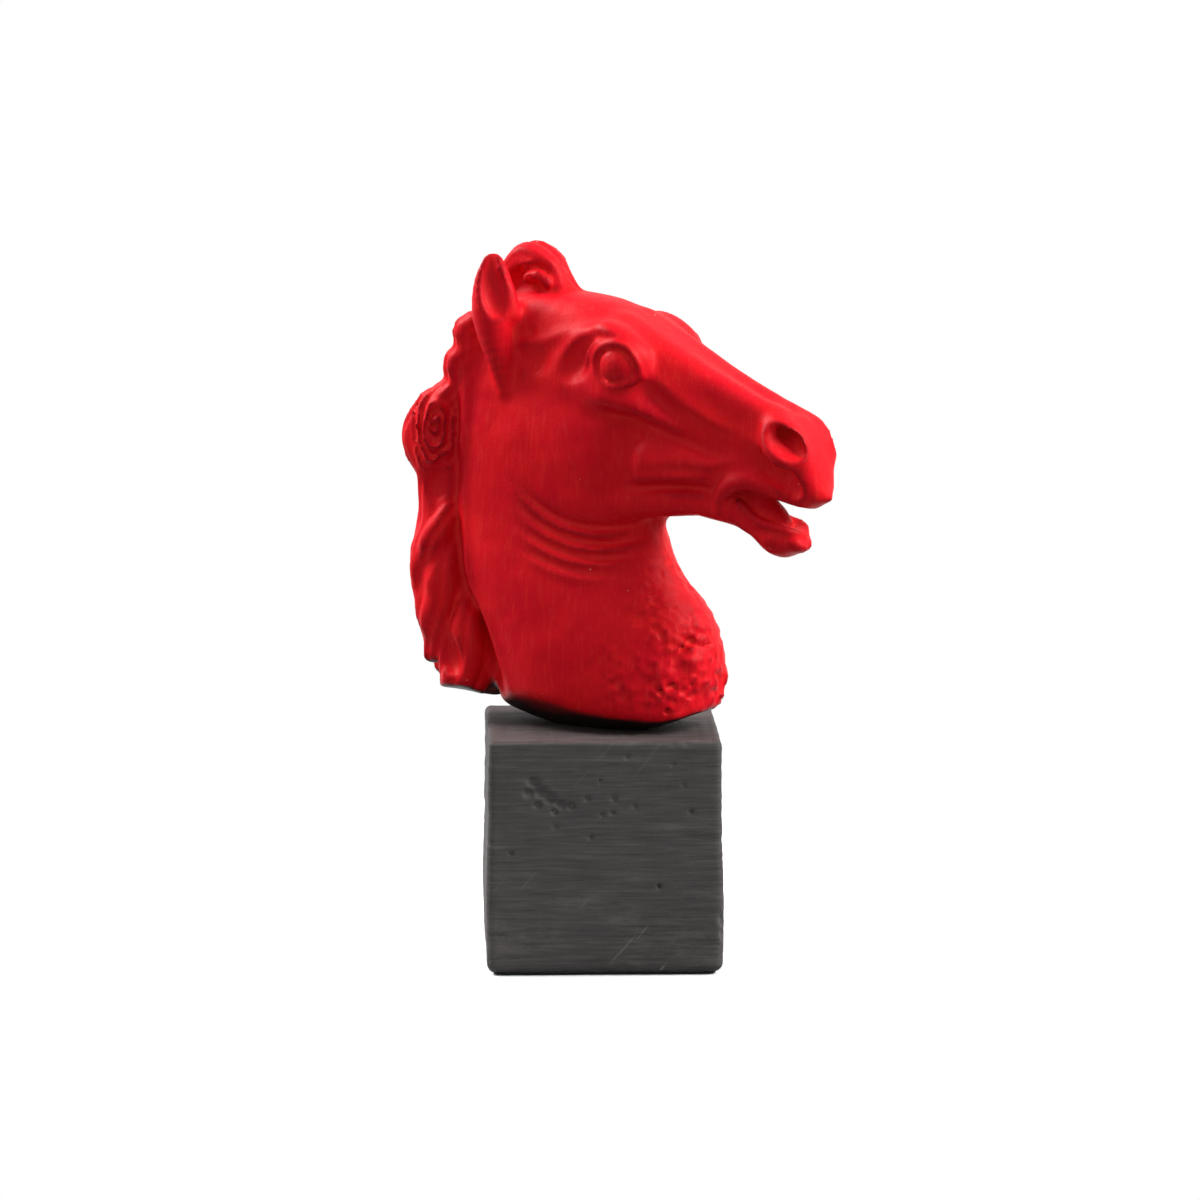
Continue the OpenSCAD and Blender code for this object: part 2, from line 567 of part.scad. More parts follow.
module bust_surface() {
    nx = len(xs) - 1;
    ny = len(ys) - 1;
    nz = len(zs) - 1;
    depths = filled(bust_depths(), NOTCH_PASSES);
    columns = [
        for (i = [0 : nx - 1])
            for (j = [0 : ny - 1])
                [for (k = [0 : nz - 1]) if (crossed(depths, i, j, k)) k],
    ];
    starts = running_total([for (c = columns) len(c)]);
    function number(i, j, k) = starts[i * ny + j] + search(k, columns[i * ny + j])[0];
    corners = [
        for (i = [0 : nx - 1])
            for (j = [0 : ny - 1])
                for (k = columns[i * ny + j])
                    cell_corner(depths, [i, j, k]),
    ];
    // Two triangles round each grid edge that the surface crosses
    faces = [
        for (i = [1 : nx - 1])
            for (j = [1 : ny - 1])
                for (k = [1 : nz - 1])
                    let (inside = depths[i][j][k] < 0)
                    for (axis = [0 : 2])
                        let (
                            to = [i, j, k] + [axis == 0 ? 1 : 0, axis == 1 ? 1 : 0, axis == 2 ? 1 : 0],
                            u = axis == 0 ? [0, 1, 0] : axis == 1 ? [0, 0, 1] : [1, 0, 0],
                            v = axis == 0 ? [0, 0, 1] : axis == 1 ? [1, 0, 0] : [0, 1, 0]
                        )
                        if ((value(depths, to) < 0) != inside)
                            let (
                                round = [
                                    for (c = [[0, 0], [1, 0], [1, 1], [0, 1]])
                                        let (cell = [i, j, k] - c[0] * u - c[1] * v)
                                        number(cell.x, cell.y, cell.z),
                                ],
                                order = inside ? [0, 3, 2, 1] : [0, 1, 2, 3],
                                short = norm(corners[round[0]] - corners[round[2]])
                                    <= norm(corners[round[1]] - corners[round[3]]),
                                s = short ? 0 : 1
                            )
                            each [
                                [for (n = [0, 1, 2]) round[order[(n + s) % 4]]],
                                [for (n = [2, 3, 0]) round[order[(n + s) % 4]]],
                            ],
    ];
    polyhedron(points=[for (c = corners) unit * in_bust(c)], faces=faces, convexity=8);
}

module rod_body(d, h) {
    r = d / 2;
    rotate_extrude()
        polygon([[0, 0], [r - chamfer, 0], [r, chamfer], [r, h - chamfer], [r - chamfer, h], [0, h]]);
}

module ring(outer_d, inner_d, h) {
    difference() {
        cylinder(d=outer_d, h=h);
        translate([0, 0, -OVERLAP])
            cylinder(d=inner_d, h=h + 2 * OVERLAP);
    }
}

// Rectangle with true arcs at its corners
module round_rectangle(w, h, r) {
    square([w - 2 * r, h], center=true);
    square([w, h - 2 * r], center=true);
    for (x = [-1, 1], y = [-1, 1])
        translate([x * (w / 2 - r), y * (h / 2 - r)])
            circle(r=r);
}

module horse_head() {
    color([0.78, 0.06, 0.1])
        translate([0, 0, seat_z])
            difference() {
                bust_surface();
                translate([-plinth_w, -plinth_w, -plinth_h])
                    cube([2 * plinth_w, 2 * plinth_w, plinth_h]);
                translate([0, 0, -OVERLAP])
                    cylinder(d=insert_d + 2 * glue_gap, h=insert_l + OVERLAP);
            }
}

module plinth() {
    color([0.26, 0.25, 0.25])
        difference() {
            translate([0, 0, felt_t + plinth_h / 2])
                intersection() {
                    linear_extrude(plinth_h, center=true)
                        round_rectangle(plinth_w, plinth_w, plinth_edge_r);
                    rotate([90, 0, 0])
                        linear_extrude(plinth_w, center=true)
                            round_rectangle(plinth_w, plinth_h, plinth_edge_r);
                    rotate([90, 0, 90])
                        linear_extrude(plinth_w, center=true)
                            round_rectangle(plinth_w, plinth_h, plinth_edge_r);
                }
            translate([0, 0, felt_t - OVERLAP])
                cylinder(d=pocket_d, h=pocket_h + OVERLAP);
            translate([0, 0, felt_t])
                cylinder(d=rod_d + 2 * rod_gap, h=plinth_h + OVERLAP);
        }
}

module mounting_rod() {
    color([0.6, 0.61, 0.62])
        translate([0, 0, rod_z])
            rod_body(rod_d, rod_top - rod_z);
}

module head_insert() {
    color([0.72, 0.58, 0.3])
        translate([0, 0, seat_z])
            difference() {
                cylinder(d=insert_d, h=insert_l);
                translate([0, 0, -OVERLAP])
                    cylinder(d=rod_d, h=rod_grip + OVERLAP);
            }
}

module plinth_washer() {
    color([0.66, 0.67, 0.68])
        translate([0, 0, washer_z])
            ring(washer_d, rod_d + 2 * rod_gap, washer_t);
}

module lock_washer() {
    color([0.4, 0.4, 0.42])
        translate([0, 0, lock_z])
            difference() {
                ring(rod_d + 2 * lock_rim, rod_d + 2 * rod_gap, lock_t);
                translate([rod_d / 4, -lock_split / 2, -OVERLAP])
                    cube([rod_d + lock_rim, lock_split, lock_t + 2 * OVERLAP]);
            }
}

module hex_nut() {
    color([0.63, 0.64, 0.65])
        translate([0, 0, nut_z])
            difference() {
                cylinder(r=(rod_d / 2 + nut_rim) / cos(30), h=nut_h, $fn=6);
                translate([0, 0, -OVERLAP])
                    cylinder(d=rod_d, h=nut_h + 2 * OVERLAP);
            }
}

module base_felt() {
    color([0.07, 0.07, 0.07])
        linear_extrude(felt_t)
            round_rectangle(felt_w, felt_w, felt_r);
}

horse_head();
plinth();
mounting_rod();
head_insert();
plinth_washer();
lock_washer();
hex_nut();
base_felt();
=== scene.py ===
"""Red horse-head bust on a dark cast cube: the looks of the part, in the frame's metres."""
import math

import bpy
import numpy as np
import openvdb
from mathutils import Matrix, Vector


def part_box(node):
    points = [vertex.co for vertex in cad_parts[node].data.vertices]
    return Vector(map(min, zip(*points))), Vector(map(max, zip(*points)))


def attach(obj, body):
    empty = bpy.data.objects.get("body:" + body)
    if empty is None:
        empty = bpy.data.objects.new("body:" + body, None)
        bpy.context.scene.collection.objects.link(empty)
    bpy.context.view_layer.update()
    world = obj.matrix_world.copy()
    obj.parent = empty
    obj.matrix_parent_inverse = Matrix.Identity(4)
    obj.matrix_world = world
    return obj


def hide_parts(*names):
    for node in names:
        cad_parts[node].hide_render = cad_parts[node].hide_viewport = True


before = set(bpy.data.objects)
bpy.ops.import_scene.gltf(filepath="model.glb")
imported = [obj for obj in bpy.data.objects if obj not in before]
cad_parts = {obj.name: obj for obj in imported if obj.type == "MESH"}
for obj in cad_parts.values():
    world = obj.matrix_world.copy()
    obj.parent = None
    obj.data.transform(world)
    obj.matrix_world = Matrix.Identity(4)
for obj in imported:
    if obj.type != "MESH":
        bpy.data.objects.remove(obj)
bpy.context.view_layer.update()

# Places of the frame's nodes, in metres
MM = 0.001
PLINTH_LOW, PLINTH_HIGH = (np.array(corner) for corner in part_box("plinth"))
FELT_LOW, FELT_HIGH = (np.array(corner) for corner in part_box("base_felt"))
INSERT_LOW, INSERT_HIGH = (np.array(corner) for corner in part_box("head_insert"))
ROD_LOW, ROD_HIGH = (np.array(corner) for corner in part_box("mounting_rod"))
WASHER_LOW, WASHER_HIGH = (np.array(corner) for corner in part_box("plinth_washer"))
SEAT = PLINTH_HIGH[2]
# The bust is drawn in millimetres from its seat for a height of MODEL_H, and UNIT brings it to the frame
MODEL_H = 185.96
UNIT = (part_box("horse_head")[1][2] - SEAT) / MODEL_H
# Turns of the head and the neck and nod of the face, in degrees, and the origin of the head's axes
HEAD_TURN = 33.0
HEAD_NOD = 24.0
NECK_TURN = 20.0
HEAD_AT = np.array((22.0, -16.0, 155.7))
# Steps of the grids that the forms are meshed on, and gaps of the fixing, in millimetres
HEAD_CELL = 1.02
PLINTH_CELL = 0.8
INSERT_GAP = 0.15
ROD_GAP = 0.4
POCKET_GAP = 2.0


# Shaping tools: a form is (depth function, centre, reach), and depths are negative inside

def axes(turn, nod):
    """Columns that point forwards, to the far side and upwards."""
    a, b = np.radians([turn, nod])
    forward = (np.cos(b) * np.cos(a), -np.cos(b) * np.sin(a), -np.sin(b))
    side = (np.sin(a), np.cos(a), 0.0)
    up = (np.sin(b) * np.cos(a), -np.sin(b) * np.sin(a), np.cos(b))
    return np.stack([forward, side, up], 1)


HEAD_AXES = axes(HEAD_TURN, HEAD_NOD)
NECK_AXES = axes(NECK_TURN, 0.0)
# Depth to which marks on the surface reach
NEAR = 6.0


def smooth_min(a, b, width):
    """Union of two forms, with a fillet of that width."""
    share = np.maximum(width - np.abs(a - b), 0.0) / width
    return np.minimum(a, b) - share * share * width / 4


def smooth_max(a, b, width):
    """What two forms share, with its edges rounded by that width."""
    return -smooth_min(-a, -b, width)


def ease(low, high, v):
    """Soft step from 0 at low to 1 at high."""
    t = np.clip((v - low) / (high - low), 0, 1)
    return t * t * (3 - 2 * t)


# Multipliers of the grain's lattice: for each axis, for the seed and for the mixing, and its count of levels
LATTICE = (73856093, 19349663, 83492791)
LATTICE_SEED = 2654435
LATTICE_MIX = 1274126177
LATTICE_MASK = 0x7FFFFFFF
LATTICE_LEVELS = 4096


def lattice(cell, seed):
    """Fixed value from -1 to 1 for each whole place."""
    keys = [cell[:, axis] * LATTICE[axis] for axis in range(3)]
    key = keys[0] ^ keys[1] ^ keys[2] ^ seed * LATTICE_SEED
    key = (key ^ (key >> 13)) * LATTICE_MIX & LATTICE_MASK
    return (key ^ (key >> 16)) % LATTICE_LEVELS / ((LATTICE_LEVELS - 1) / 2) - 1


def grain(p, size, seed=0):
    """Even noise from -1 to 1 with bumps about size across."""
    p = np.asarray(p) / size
    cell = np.floor(p).astype(np.int64)
    t = p - cell
    t = t * t * (3 - 2 * t)
    total = np.zeros(len(p))
    for step in np.ndindex(2, 2, 2):
        wx, wy, wz = (t[:, axis] if step[axis] else 1 - t[:, axis] for axis in range(3))
        total += lattice(cell + step, seed) * wx * wy * wz
    return total


def egg(at, radii, tilt=0.0):
    """Rounded form; tilt lowers its nose end."""
    at = np.array(at, float)
    radii = np.array(radii, float)
    t = np.radians(tilt)
    into = np.array([[np.cos(t), 0, -np.sin(t)], [0, 1, 0], [np.sin(t), 0, np.cos(t)]])

    def depth(q):
        p = (q - at) @ into.T / radii
        near = np.linalg.norm(p, axis=1)
        slope = np.linalg.norm(p / radii, axis=1)
        return near * (near - 1) / np.maximum(slope, 1e-6)

    return depth, at, radii.max()


def between(a, b, out, into, t):
    """Point at t of the smooth curve from a to b, with the slopes out of a and into b."""
    return a + t * out + t**2 * (3 * (b - a) - 2 * out - into) + t**3 * (2 * (a - b) + out + into)


def smooth_ends(ends, parts=3):
    """More ends along a smooth curve through the given ones."""
    ends = np.array(ends, float)
    slopes = np.gradient(ends, axis=0)
    rows = []
    for a, b, out, into in zip(ends, ends[1:], slopes, slopes[1:]):
        rows += [between(a, b, out, into, t) for t in np.arange(parts) / parts]
    return np.array(rows + [ends[-1]])


def from_segment(q, a, b):
    """For each point, the place of the nearest one on a segment, from 0 to 1, and the way from that one."""
    run = b - a
    t = np.clip((q - a) @ run / (run @ run), 0, 1)
    return t, q - a - t[:, None] * run


def box_round(ends):
    """Centre and reach of a form through (x, y, z, radius)."""
    low = (ends[:, :3] - ends[:, 3:]).min(0)
    high = (ends[:, :3] + ends[:, 3:]).max(0)
    return (low + high) / 2, np.linalg.norm(high - low) / 2


def chain(ends, parts=1):
    """Tapering form through (x, y, z, radius), on a smooth curve where parts is over 1."""
    ends = smooth_ends(ends, parts)

    def depth(q):
        best = np.full(len(q), np.inf)
        for a, b in zip(ends, ends[1:]):
            t, off = from_segment(q, a[:3], b[:3])
            far = np.linalg.norm(off, axis=1)
            best = np.minimum(best, far - a[3] - (b[3] - a[3]) * t)
        return best

    return depth, *box_round(ends)


# Twist of a lock's strands along it, height and run of their waves, and the radius from which their grooves
# have the full depth
TWIST = 0.05
WAVE = 0.5
WAVE_RUN = 6
FULL_GROOVE_R = 6
# How narrow the grooves between strands are
GROOVE_POWER = 1.5


def lock(ends, strands, groove):
    """Lock of hair: a tapering form with grooves between its wavy strands."""
    ends = smooth_ends(ends, 4)
    steps = np.linalg.norm(np.diff(ends[:, :3], axis=0), axis=1)
    starts = np.concatenate([[0], np.cumsum(steps)])

    def depth(q):
        best = np.full(len(q), np.inf)
        angle, along, radius = np.zeros(len(q)), np.zeros(len(q)), np.ones(len(q))
        for a, b, start, length in zip(ends, ends[1:], starts, steps):
            t, off = from_segment(q, a[:3], b[:3])
            r = a[3] + (b[3] - a[3]) * t
            far = np.linalg.norm(off, axis=1) - r
            ahead = (b[:3] - a[:3]) / length
            across = np.cross(ahead, (0.0, 1.0, 0.0))
            across /= np.linalg.norm(across)
            turn = np.arctan2(off @ np.cross(ahead, across), off @ across)
            closer = far < best
            for old, new in ((best, far), (angle, turn), (along, start + t * length), (radius, r)):
                old[closer] = new[closer]
        wave = np.abs(np.sin(strands * angle / 2 + TWIST * along + WAVE * np.sin(along / WAVE_RUN)))
        return best + groove * np.minimum(radius / FULL_GROOVE_R, 1) * (1 - wave) ** GROOVE_POWER

    return depth, *box_round(ends)


# Width of the rosette's rings to their height, how uneven they are, their count, and the depth of their eye
RING_SHAPE = 0.52
RING_UNEVEN = 0.9
RINGS = 3.9
RING_EYE = 0.8
# Step of the strands behind the rosette, and how uneven they are
STRAND_STEP = 3.2
STRAND_UNEVEN = 1.2


def curl(at, radii, eye, pitch, ridge):
    """Rosette of hair: a rounded form with uneven rings round its eye, given as (x, z) from the centre."""
    body, at, reach = egg(at, radii)

    def depth(q):
        off_x, off_z = q[:, 0] - at[0] - eye[0], q[:, 2] - at[2] - eye[1]
        out = np.hypot(off_x, RING_SHAPE * off_z) + RING_UNEVEN * grain(q, 3.6, 31)
        fade = ease(RINGS * pitch, (RINGS - 1) * pitch, out)
        rings = np.cos(2 * np.pi * out / pitch) * fade * ease(3, 7, q[:, 1])
        strands = 1 - np.abs(np.sin(np.pi * (q[:, 1] + STRAND_UNEVEN * grain(q, 8, 34)) / STRAND_STEP))
        behind = ridge * ease(at[0] - 3, at[0] - 9, q[:, 0]) * strands**GROOVE_POWER
        return body(q) + ridge * (rings + RING_EYE * np.exp(-((out / pitch) ** 2))) + behind

    return depth, at, reach


def close_to(q, form, width):
    """Points that a form can change."""
    return np.flatnonzero(((q - form[1]) ** 2).sum(1) < (form[2] + width + NEAR) ** 2)


def join(d, q, form, width):
    """Add a form to the depths d, with a fillet of that width."""
    near = close_to(q, form, width)
    d[near] = smooth_min(d[near], form[0](q[near]), width)


def carve(d, q, form, width):
    """Take a form out of the depths d, with edges rounded by that width."""
    near = close_to(q, form, width)
    d[near] = smooth_max(d[near], -form[0](q[near]), width)


# Reach of a stroke in parts of its width, and the share of its length over which each end fades
STROKE_REACH = 2.4
STROKE_FADE = 0.3


def stroke(d, q, ends, width, height, inner=8.0):
    """Ridge, or a groove where height is negative, along a line drawn on the side as (x, z).

    It fades at its ends, and where it comes nearer to the middle than inner.
    """
    ends = smooth_ends(ends, 4)
    reach = STROKE_REACH * width
    flat = q[:, [0, 2]]
    inside = (flat > ends.min(0) - reach).all(1) & (flat < ends.max(0) + reach).all(1)
    near = np.flatnonzero(inside & (q[:, 1] > inner) & (np.abs(d) < NEAR))
    best, along = np.full(len(near), np.inf), np.zeros(len(near))
    for i, (a, b) in enumerate(zip(ends, ends[1:])):
        t, off = from_segment(flat[near], a, b)
        far = (off**2).sum(1)
        along = np.where(far < best, (i + t) / (len(ends) - 1), along)
        best = np.minimum(best, far)
    fade = ease(0, STROKE_FADE, along) * ease(1, 1 - STROKE_FADE, along) * ease(inner, inner + 3, q[near, 1])
    d[near] -= height * fade * np.exp(-best / width**2)


def line(x, stations, column):
    """Smooth line through one column of stations."""
    xs, ys = stations[:, 0], stations[:, column]
    slopes = np.gradient(ys, xs)
    i = np.clip(np.searchsorted(xs, x) - 1, 0, len(xs) - 2)
    run = xs[i + 1] - xs[i]
    t = np.clip((x - xs[i]) / run, 0, 1)
    return between(ys[i], ys[i + 1], slopes[i] * run, slopes[i + 1] * run, t)


def oval(u, v, half_u, half_v, power):
    """Depth in an oval section, squarer with a higher power."""
    k = ((np.abs(u) / half_u) ** power + (np.abs(v) / half_v) ** power) ** (1 / power)
    return (k - 1) * np.minimum(half_u, half_v)


def past_end(depth, over):
    """Depth where a point lies over past the last section."""
    return np.where(over > 0, np.hypot(np.maximum(depth, 0), over) + np.minimum(depth, 0), depth)


# Head, on axes along the face to the muzzle, to the side, and up from the bridge of the nose

# Skull along the face: place, top, bottom, half width, level of the greatest width
SKULL = np.array([
    (-62, -17, -40, 11, -27),
    (-52, -10, -52, 16, -28),
    (-40, -4.5, -60, 19, -27),
    (-24, 0.4, -62, 21, -22),
    (-8, 1.6, -60, 21.5, -18),
    (8, 0.6, -56, 20, -19),
    (24, -1.2, -49, 17.5, -22),
    (40, -2.6, -43, 14.5, -24),
    (52, -3.2, -38.5, 12, -22),
    (62, -2.2, -34.5, 11.5, -18),
    (72, -2.8, -33.5, 12.3, -17),
    (80, -8, -33, 11.8, -19),
    (86, -15, -32, 10.2, -22),
    (90, -21, -29.6, 7, -25),
], float)
# Neck up from the seat: height, throat, crest, half width, sideways shift
NECK = np.array([
    (-6, 44, -38, 24, 0),
    (6, 47, -39, 26.5, 0),
    (18, 49, -42, 28.5, 0),
    (28, 49, -45, 29, 0),
    (39, 46, -48.5, 28.5, 0),
    (48, 41, -52, 27.5, 0),
    (58, 33.3, -55.5, 26, 0),
    (68, 27.8, -57.5, 24, 0),
    (78, 25, -59, 22.5, 0.5),
    (95, 18, -58.5, 21, 1),
    (124, 6, -56, 18, 2),
    (144, -6, -49, 15, 3),
    (160, -18, -40, 10, 4),
], float)
# Squareness of the skull above and below its greatest width, and of the neck
SKULL_POWERS = (2.5, 2.2)
NECK_POWER = 2.2
# Opening of the mouth along the face: place, upper edge, lower edge
MOUTH = np.array([
    (58, -38, -39),
    (66, -36.2, -39.6),
    (74, -34.2, -40),
    (81, -33, -40),
    (86, -32.2, -41.4),
    (92, -32, -46),
    (100, -32, -50),
], float)


def skull(q):
    x = np.clip(q[:, 0], SKULL[0, 0], SKULL[-1, 0])
    level = line(x, SKULL, 4)
    above = q[:, 2] > level
    half = np.where(above, line(x, SKULL, 1) - level, level - line(x, SKULL, 2))
    depth = oval(q[:, 1], q[:, 2] - level, line(x, SKULL, 3), half, np.where(above, *SKULL_POWERS))
    return past_end(depth, np.abs(q[:, 0] - x))


def neck(q):
    z = np.clip(q[:, 2], NECK[0, 0], NECK[-1, 0])
    front, back = line(z, NECK, 1), line(z, NECK, 2)
    side = q[:, 1] - line(z, NECK, 4)
    depth = oval(q[:, 0] - (front + back) / 2, side, (front - back) / 2, line(z, NECK, 3), NECK_POWER)
    return past_end(depth, np.abs(q[:, 2] - z))


def mouth(q):
    upper, lower = (np.interp(q[:, 0], MOUTH[:, 0], MOUTH[:, i]) for i in (1, 2))
    return np.maximum(np.maximum(q[:, 2] - upper, lower - q[:, 2]), MOUTH[0, 0] - q[:, 0])


def cheek(d, q):
    join(d, q, egg((-8, 13, -51), (31, 11.5, 29)), 4)
    # Edge of the jaw, and the flesh between its two sides
    jaw = [(-29, 12, -63, 8.5), (-16, 12.5, -72.5, 8.5), (6, 12, -71.5, 8), (26, 9, -60, 7),
           (46, 6.5, -50, 5.4), (64, 5.5, -46.5, 5), (80, 4, -47, 5.4)]
    join(d, q, chain(jaw), 4)
    join(d, q, chain([(-14, 0, -62, 15), (20, 0, -54, 10), (54, 0, -44, 6)]), 7)
    # Muscle that fills the side of the mouth
    muscle = [(10, 10, -50, 7.6), (22, 11, -45, 7.4), (38, 10.2, -38.5, 6.8), (54, 8.5, -34.5, 5.6)]
    join(d, q, chain(muscle), 7)


def bridge(d, q):
    # Brow, eye mound, cheek bone and nose
    join(d, q, egg((-4, 20, -6.2), (11.5, 7, 6), 8), 6)
    join(d, q, egg((-1, 19.5, -14.5), (13, 7.2, 10.6), -16), 5)
    cheek_bone = [(-34, 16, -33, 4), (-18, 18.6, -30.4, 4.2), (0, 20.8, -27, 4.4), (13, 18.4, -26, 4),
                  (27, 13.6, -26, 3)]
    join(d, q, chain(cheek_bone), 8)
    join(d, q, chain([(-10, 9, -5.5, 6), (30, 7.5, -7.2, 5), (62, 6, -7.2, 5)]), 4)
    # Temple, and the ridge above it from the ear to the brow
    carve(d, q, egg((-36, 26.4, -30), (9, 7.8, 5.8), -20), 4)
    stroke(d, q, [(-48, -31), (-43, -27.2), (-34, -21), (-27, -14), (-20, -6)], 2.6, 1.1)
    # Line where the plane of the nose breaks, the cheek bone below it and the hollow under that
    stroke(d, q, [(8, -11), (17, -13.4), (27, -16), (38, -17.2), (48, -17.8), (60, -16)], 2.6, 0.9)
    stroke(d, q, [(6, -13), (16, -18), (26, -21.4), (37, -23.4), (49, -23.8), (61, -22)], 4, -1.6)
    stroke(d, q, [(-10, -30.6), (0, -28.4), (9, -26.4), (18, -26), (27, -26.4), (36, -26.8)], 3.4, 0.6)
    stroke(d, q, [(-8, -36.5), (2, -34), (9, -32), (20, -30), (32, -29.6), (45, -29.4), (58, -28)], 3, -2.5)
    # Front of the cheek, and the muscle before it
    stroke(d, q, [(17, -29), (14, -35), (13.4, -41), (15.4, -49), (17, -58), (17.4, -68)], 5.4, -3.6)
    muscle = [(24, -53), (21.6, -46), (22, -39.4), (27, -34.4), (35, -32.6), (45, -33), (54, -33.6)]
    stroke(d, q, muscle, 6, 0.6)
    carve(d, q, egg((17, 24.4, -33), (7, 5.6, 4.6), -20), 3)
    # Creases between the cheek, the corner of the mouth and the jaw
    stroke(d, q, [(18, -60), (28, -53.4), (37, -48.2), (46, -44), (56, -40)], 2, -0.9, 5)
    stroke(d, q, [(16, -56.4), (26, -50), (37, -44.4), (48, -39.2)], 1.9, 0.8, 5)
    stroke(d, q, [(26, -46), (37, -40.5), (46, -37), (54, -34.4)], 1.6, -0.8, 5)
    stroke(d, q, [(30, -55), (42, -49.2), (52, -44.6), (58, -42.4)], 1.8, 0.8, 4)


def muzzle(d, q):
    # Side of the nose, upper lip, chin and lower lip, and the mouth between them
    join(d, q, egg((72.4, 10, -12), (12, 6.8, 8.2), 28), 4)
    upper_lip = [(59, 8.5, -32, 3.6), (70, 6.8, -29.8, 4.2), (82, 4, -27, 4.8), (84.5, 0, -26, 5.4)]
    join(d, q, chain(upper_lip), 4)
    join(d, q, egg((80, 0, -49.5), (9, 8, 6.2)), 4)
    join(d, q, egg((86, 0, -46.6), (6.8, 7.4, 4.6)), 2)
    near = np.flatnonzero(q[:, 0] > MOUTH[0, 0] - NEAR)
    d[near] = smooth_max(d[near], -mouth(q[near]), 1.2)


# Middle of the eye, its ball and its socket, and the tilt of the line through its corners, in degrees
EYE = np.array((0.5, 23.2, -13.2))
EYE_BALL = (7.1, 5.9, 7.1)
EYE_SOCKET = (8.8, 5.4, 7.9)
EYE_TILT = 22.0
# Iris ring: radius, width and depth. Pupil: depth
IRIS_R = 3
IRIS_WIDTH = 0.7
IRIS_DEPTH = 0.16
PUPIL_DEPTH = 0.35


def by_eye(forward, side, up, radius):
    """End of a lid, placed from the eye on axes level with its corners."""
    c, s = math.cos(math.radians(EYE_TILT)), math.sin(math.radians(EYE_TILT))
    return EYE[0] + c * forward - s * up, side, EYE[2] + s * forward + c * up, radius


# Lids and the fold above them: ahead of the eye, to the side, up from the eye, radius
UPPER_LID = [(-10.8, 22.4, -3.6, 1.1), (-9.8, 24.2, 1.8, 1.4), (-6.2, 25.6, 6.4, 1.5), (-0.4, 26.2, 8.4, 1.5),
             (5.2, 25.6, 6.9, 1.4), (8.6, 24.2, 2, 1.3), (9.8, 22.4, -3.2, 1)]
LOWER_LID = [(-10.8, 22.4, -4, 1.1), (-7.6, 24, -6.8, 1.3), (-2.6, 25, -8.3, 1.4), (2.2, 24.8, -8.1, 1.4),
             (6.4, 23.8, -6.4, 1.3), (10.2, 22.2, -3.8, 1)]
LID_FOLD = [(-13.8, 21.8, -3.6, 1.5), (-12.6, 23, 2.2, 1.7), (-9, 24, 7.2, 1.7), (-3, 24.4, 9.8, 1.5)]


def eye(d, q):
    # Ridge of the brow, and the hollow under it, broad behind the eye
    brow = [(-24, 17.4, -31, 2.6), (-22.6, 18.8, -21.5, 3), (-18.8, 19.6, -11.8, 2.9), (-12, 20, -6.8, 2.2)]
    join(d, q, chain(brow, 3), 5)
    hollow = [(-20, 29, -28.4, 3.6), (-17.2, 26.8, -24, 5.4), (-15.8, 26.2, -18.6, 6),
              (-13.2, 26.6, -12.8, 4.6), (-9.4, 27.2, -8.2, 3.2), (-4.6, 28, -5.4, 2), (2, 28.2, -4.4, 1.5),
              (6.6, 26.8, -6.6, 1.2)]
    carve(d, q, chain(hollow, 3), 2.4)
    # Ball in its socket, between the lids
    carve(d, q, egg((EYE[0] - 0.6, 27, EYE[2]), EYE_SOCKET, -EYE_TILT), 1)
    join(d, q, egg(EYE, EYE_BALL), 0.4)
    for lid in (LID_FOLD, UPPER_LID, LOWER_LID):
        join(d, q, chain([by_eye(*end) for end in lid], 3), 1)
    # Iris ring and pupil, a little ahead of the middle
    near = np.flatnonzero((np.abs(q - EYE) < 9).all(1))
    across = np.hypot(q[near, 0] - EYE[0] - 0.6, q[near, 2] - EYE[2] - 0.5)
    ring = np.exp(-(((across - IRIS_R) / IRIS_WIDTH) ** 2))
    d[near] += IRIS_DEPTH * ring + PUPIL_DEPTH * np.exp(-(across**2))


def nostril(d, q):
    # Hollow below the wing
    hollow = [(60, 14.6, -21.6, 4.6), (69, 13.8, -22.7, 6.3), (76.6, 12.1, -23.3, 6.2),
              (82, 11.4, -26.5, 4.6)]
    carve(d, q, chain(hollow), 1.5)
    # Wing, thick below the opening, and the opening with its deep inner end
    wing = [(63.6, 12.6, -9, 1.8), (65.6, 14.6, -12.2, 2.3), (70.4, 16.4, -14.8, 2.6), (76, 16.4, -15.8, 2.6),
            (79.6, 13.6, -15, 2), (80.8, 10.8, -13.2, 1.6)]
    join(d, q, chain(wing, 3), 1.8)
    carve(d, q, egg((74, 18, -8.9), (10.4, 7.4, 4.7), 16), 1.4)
    carve(d, q, chain([(69, 8.5, -7.4, 3.6), (73, 10.4, -8, 3.4), (80, 13, -10.6, 2.4)]), 1.4)


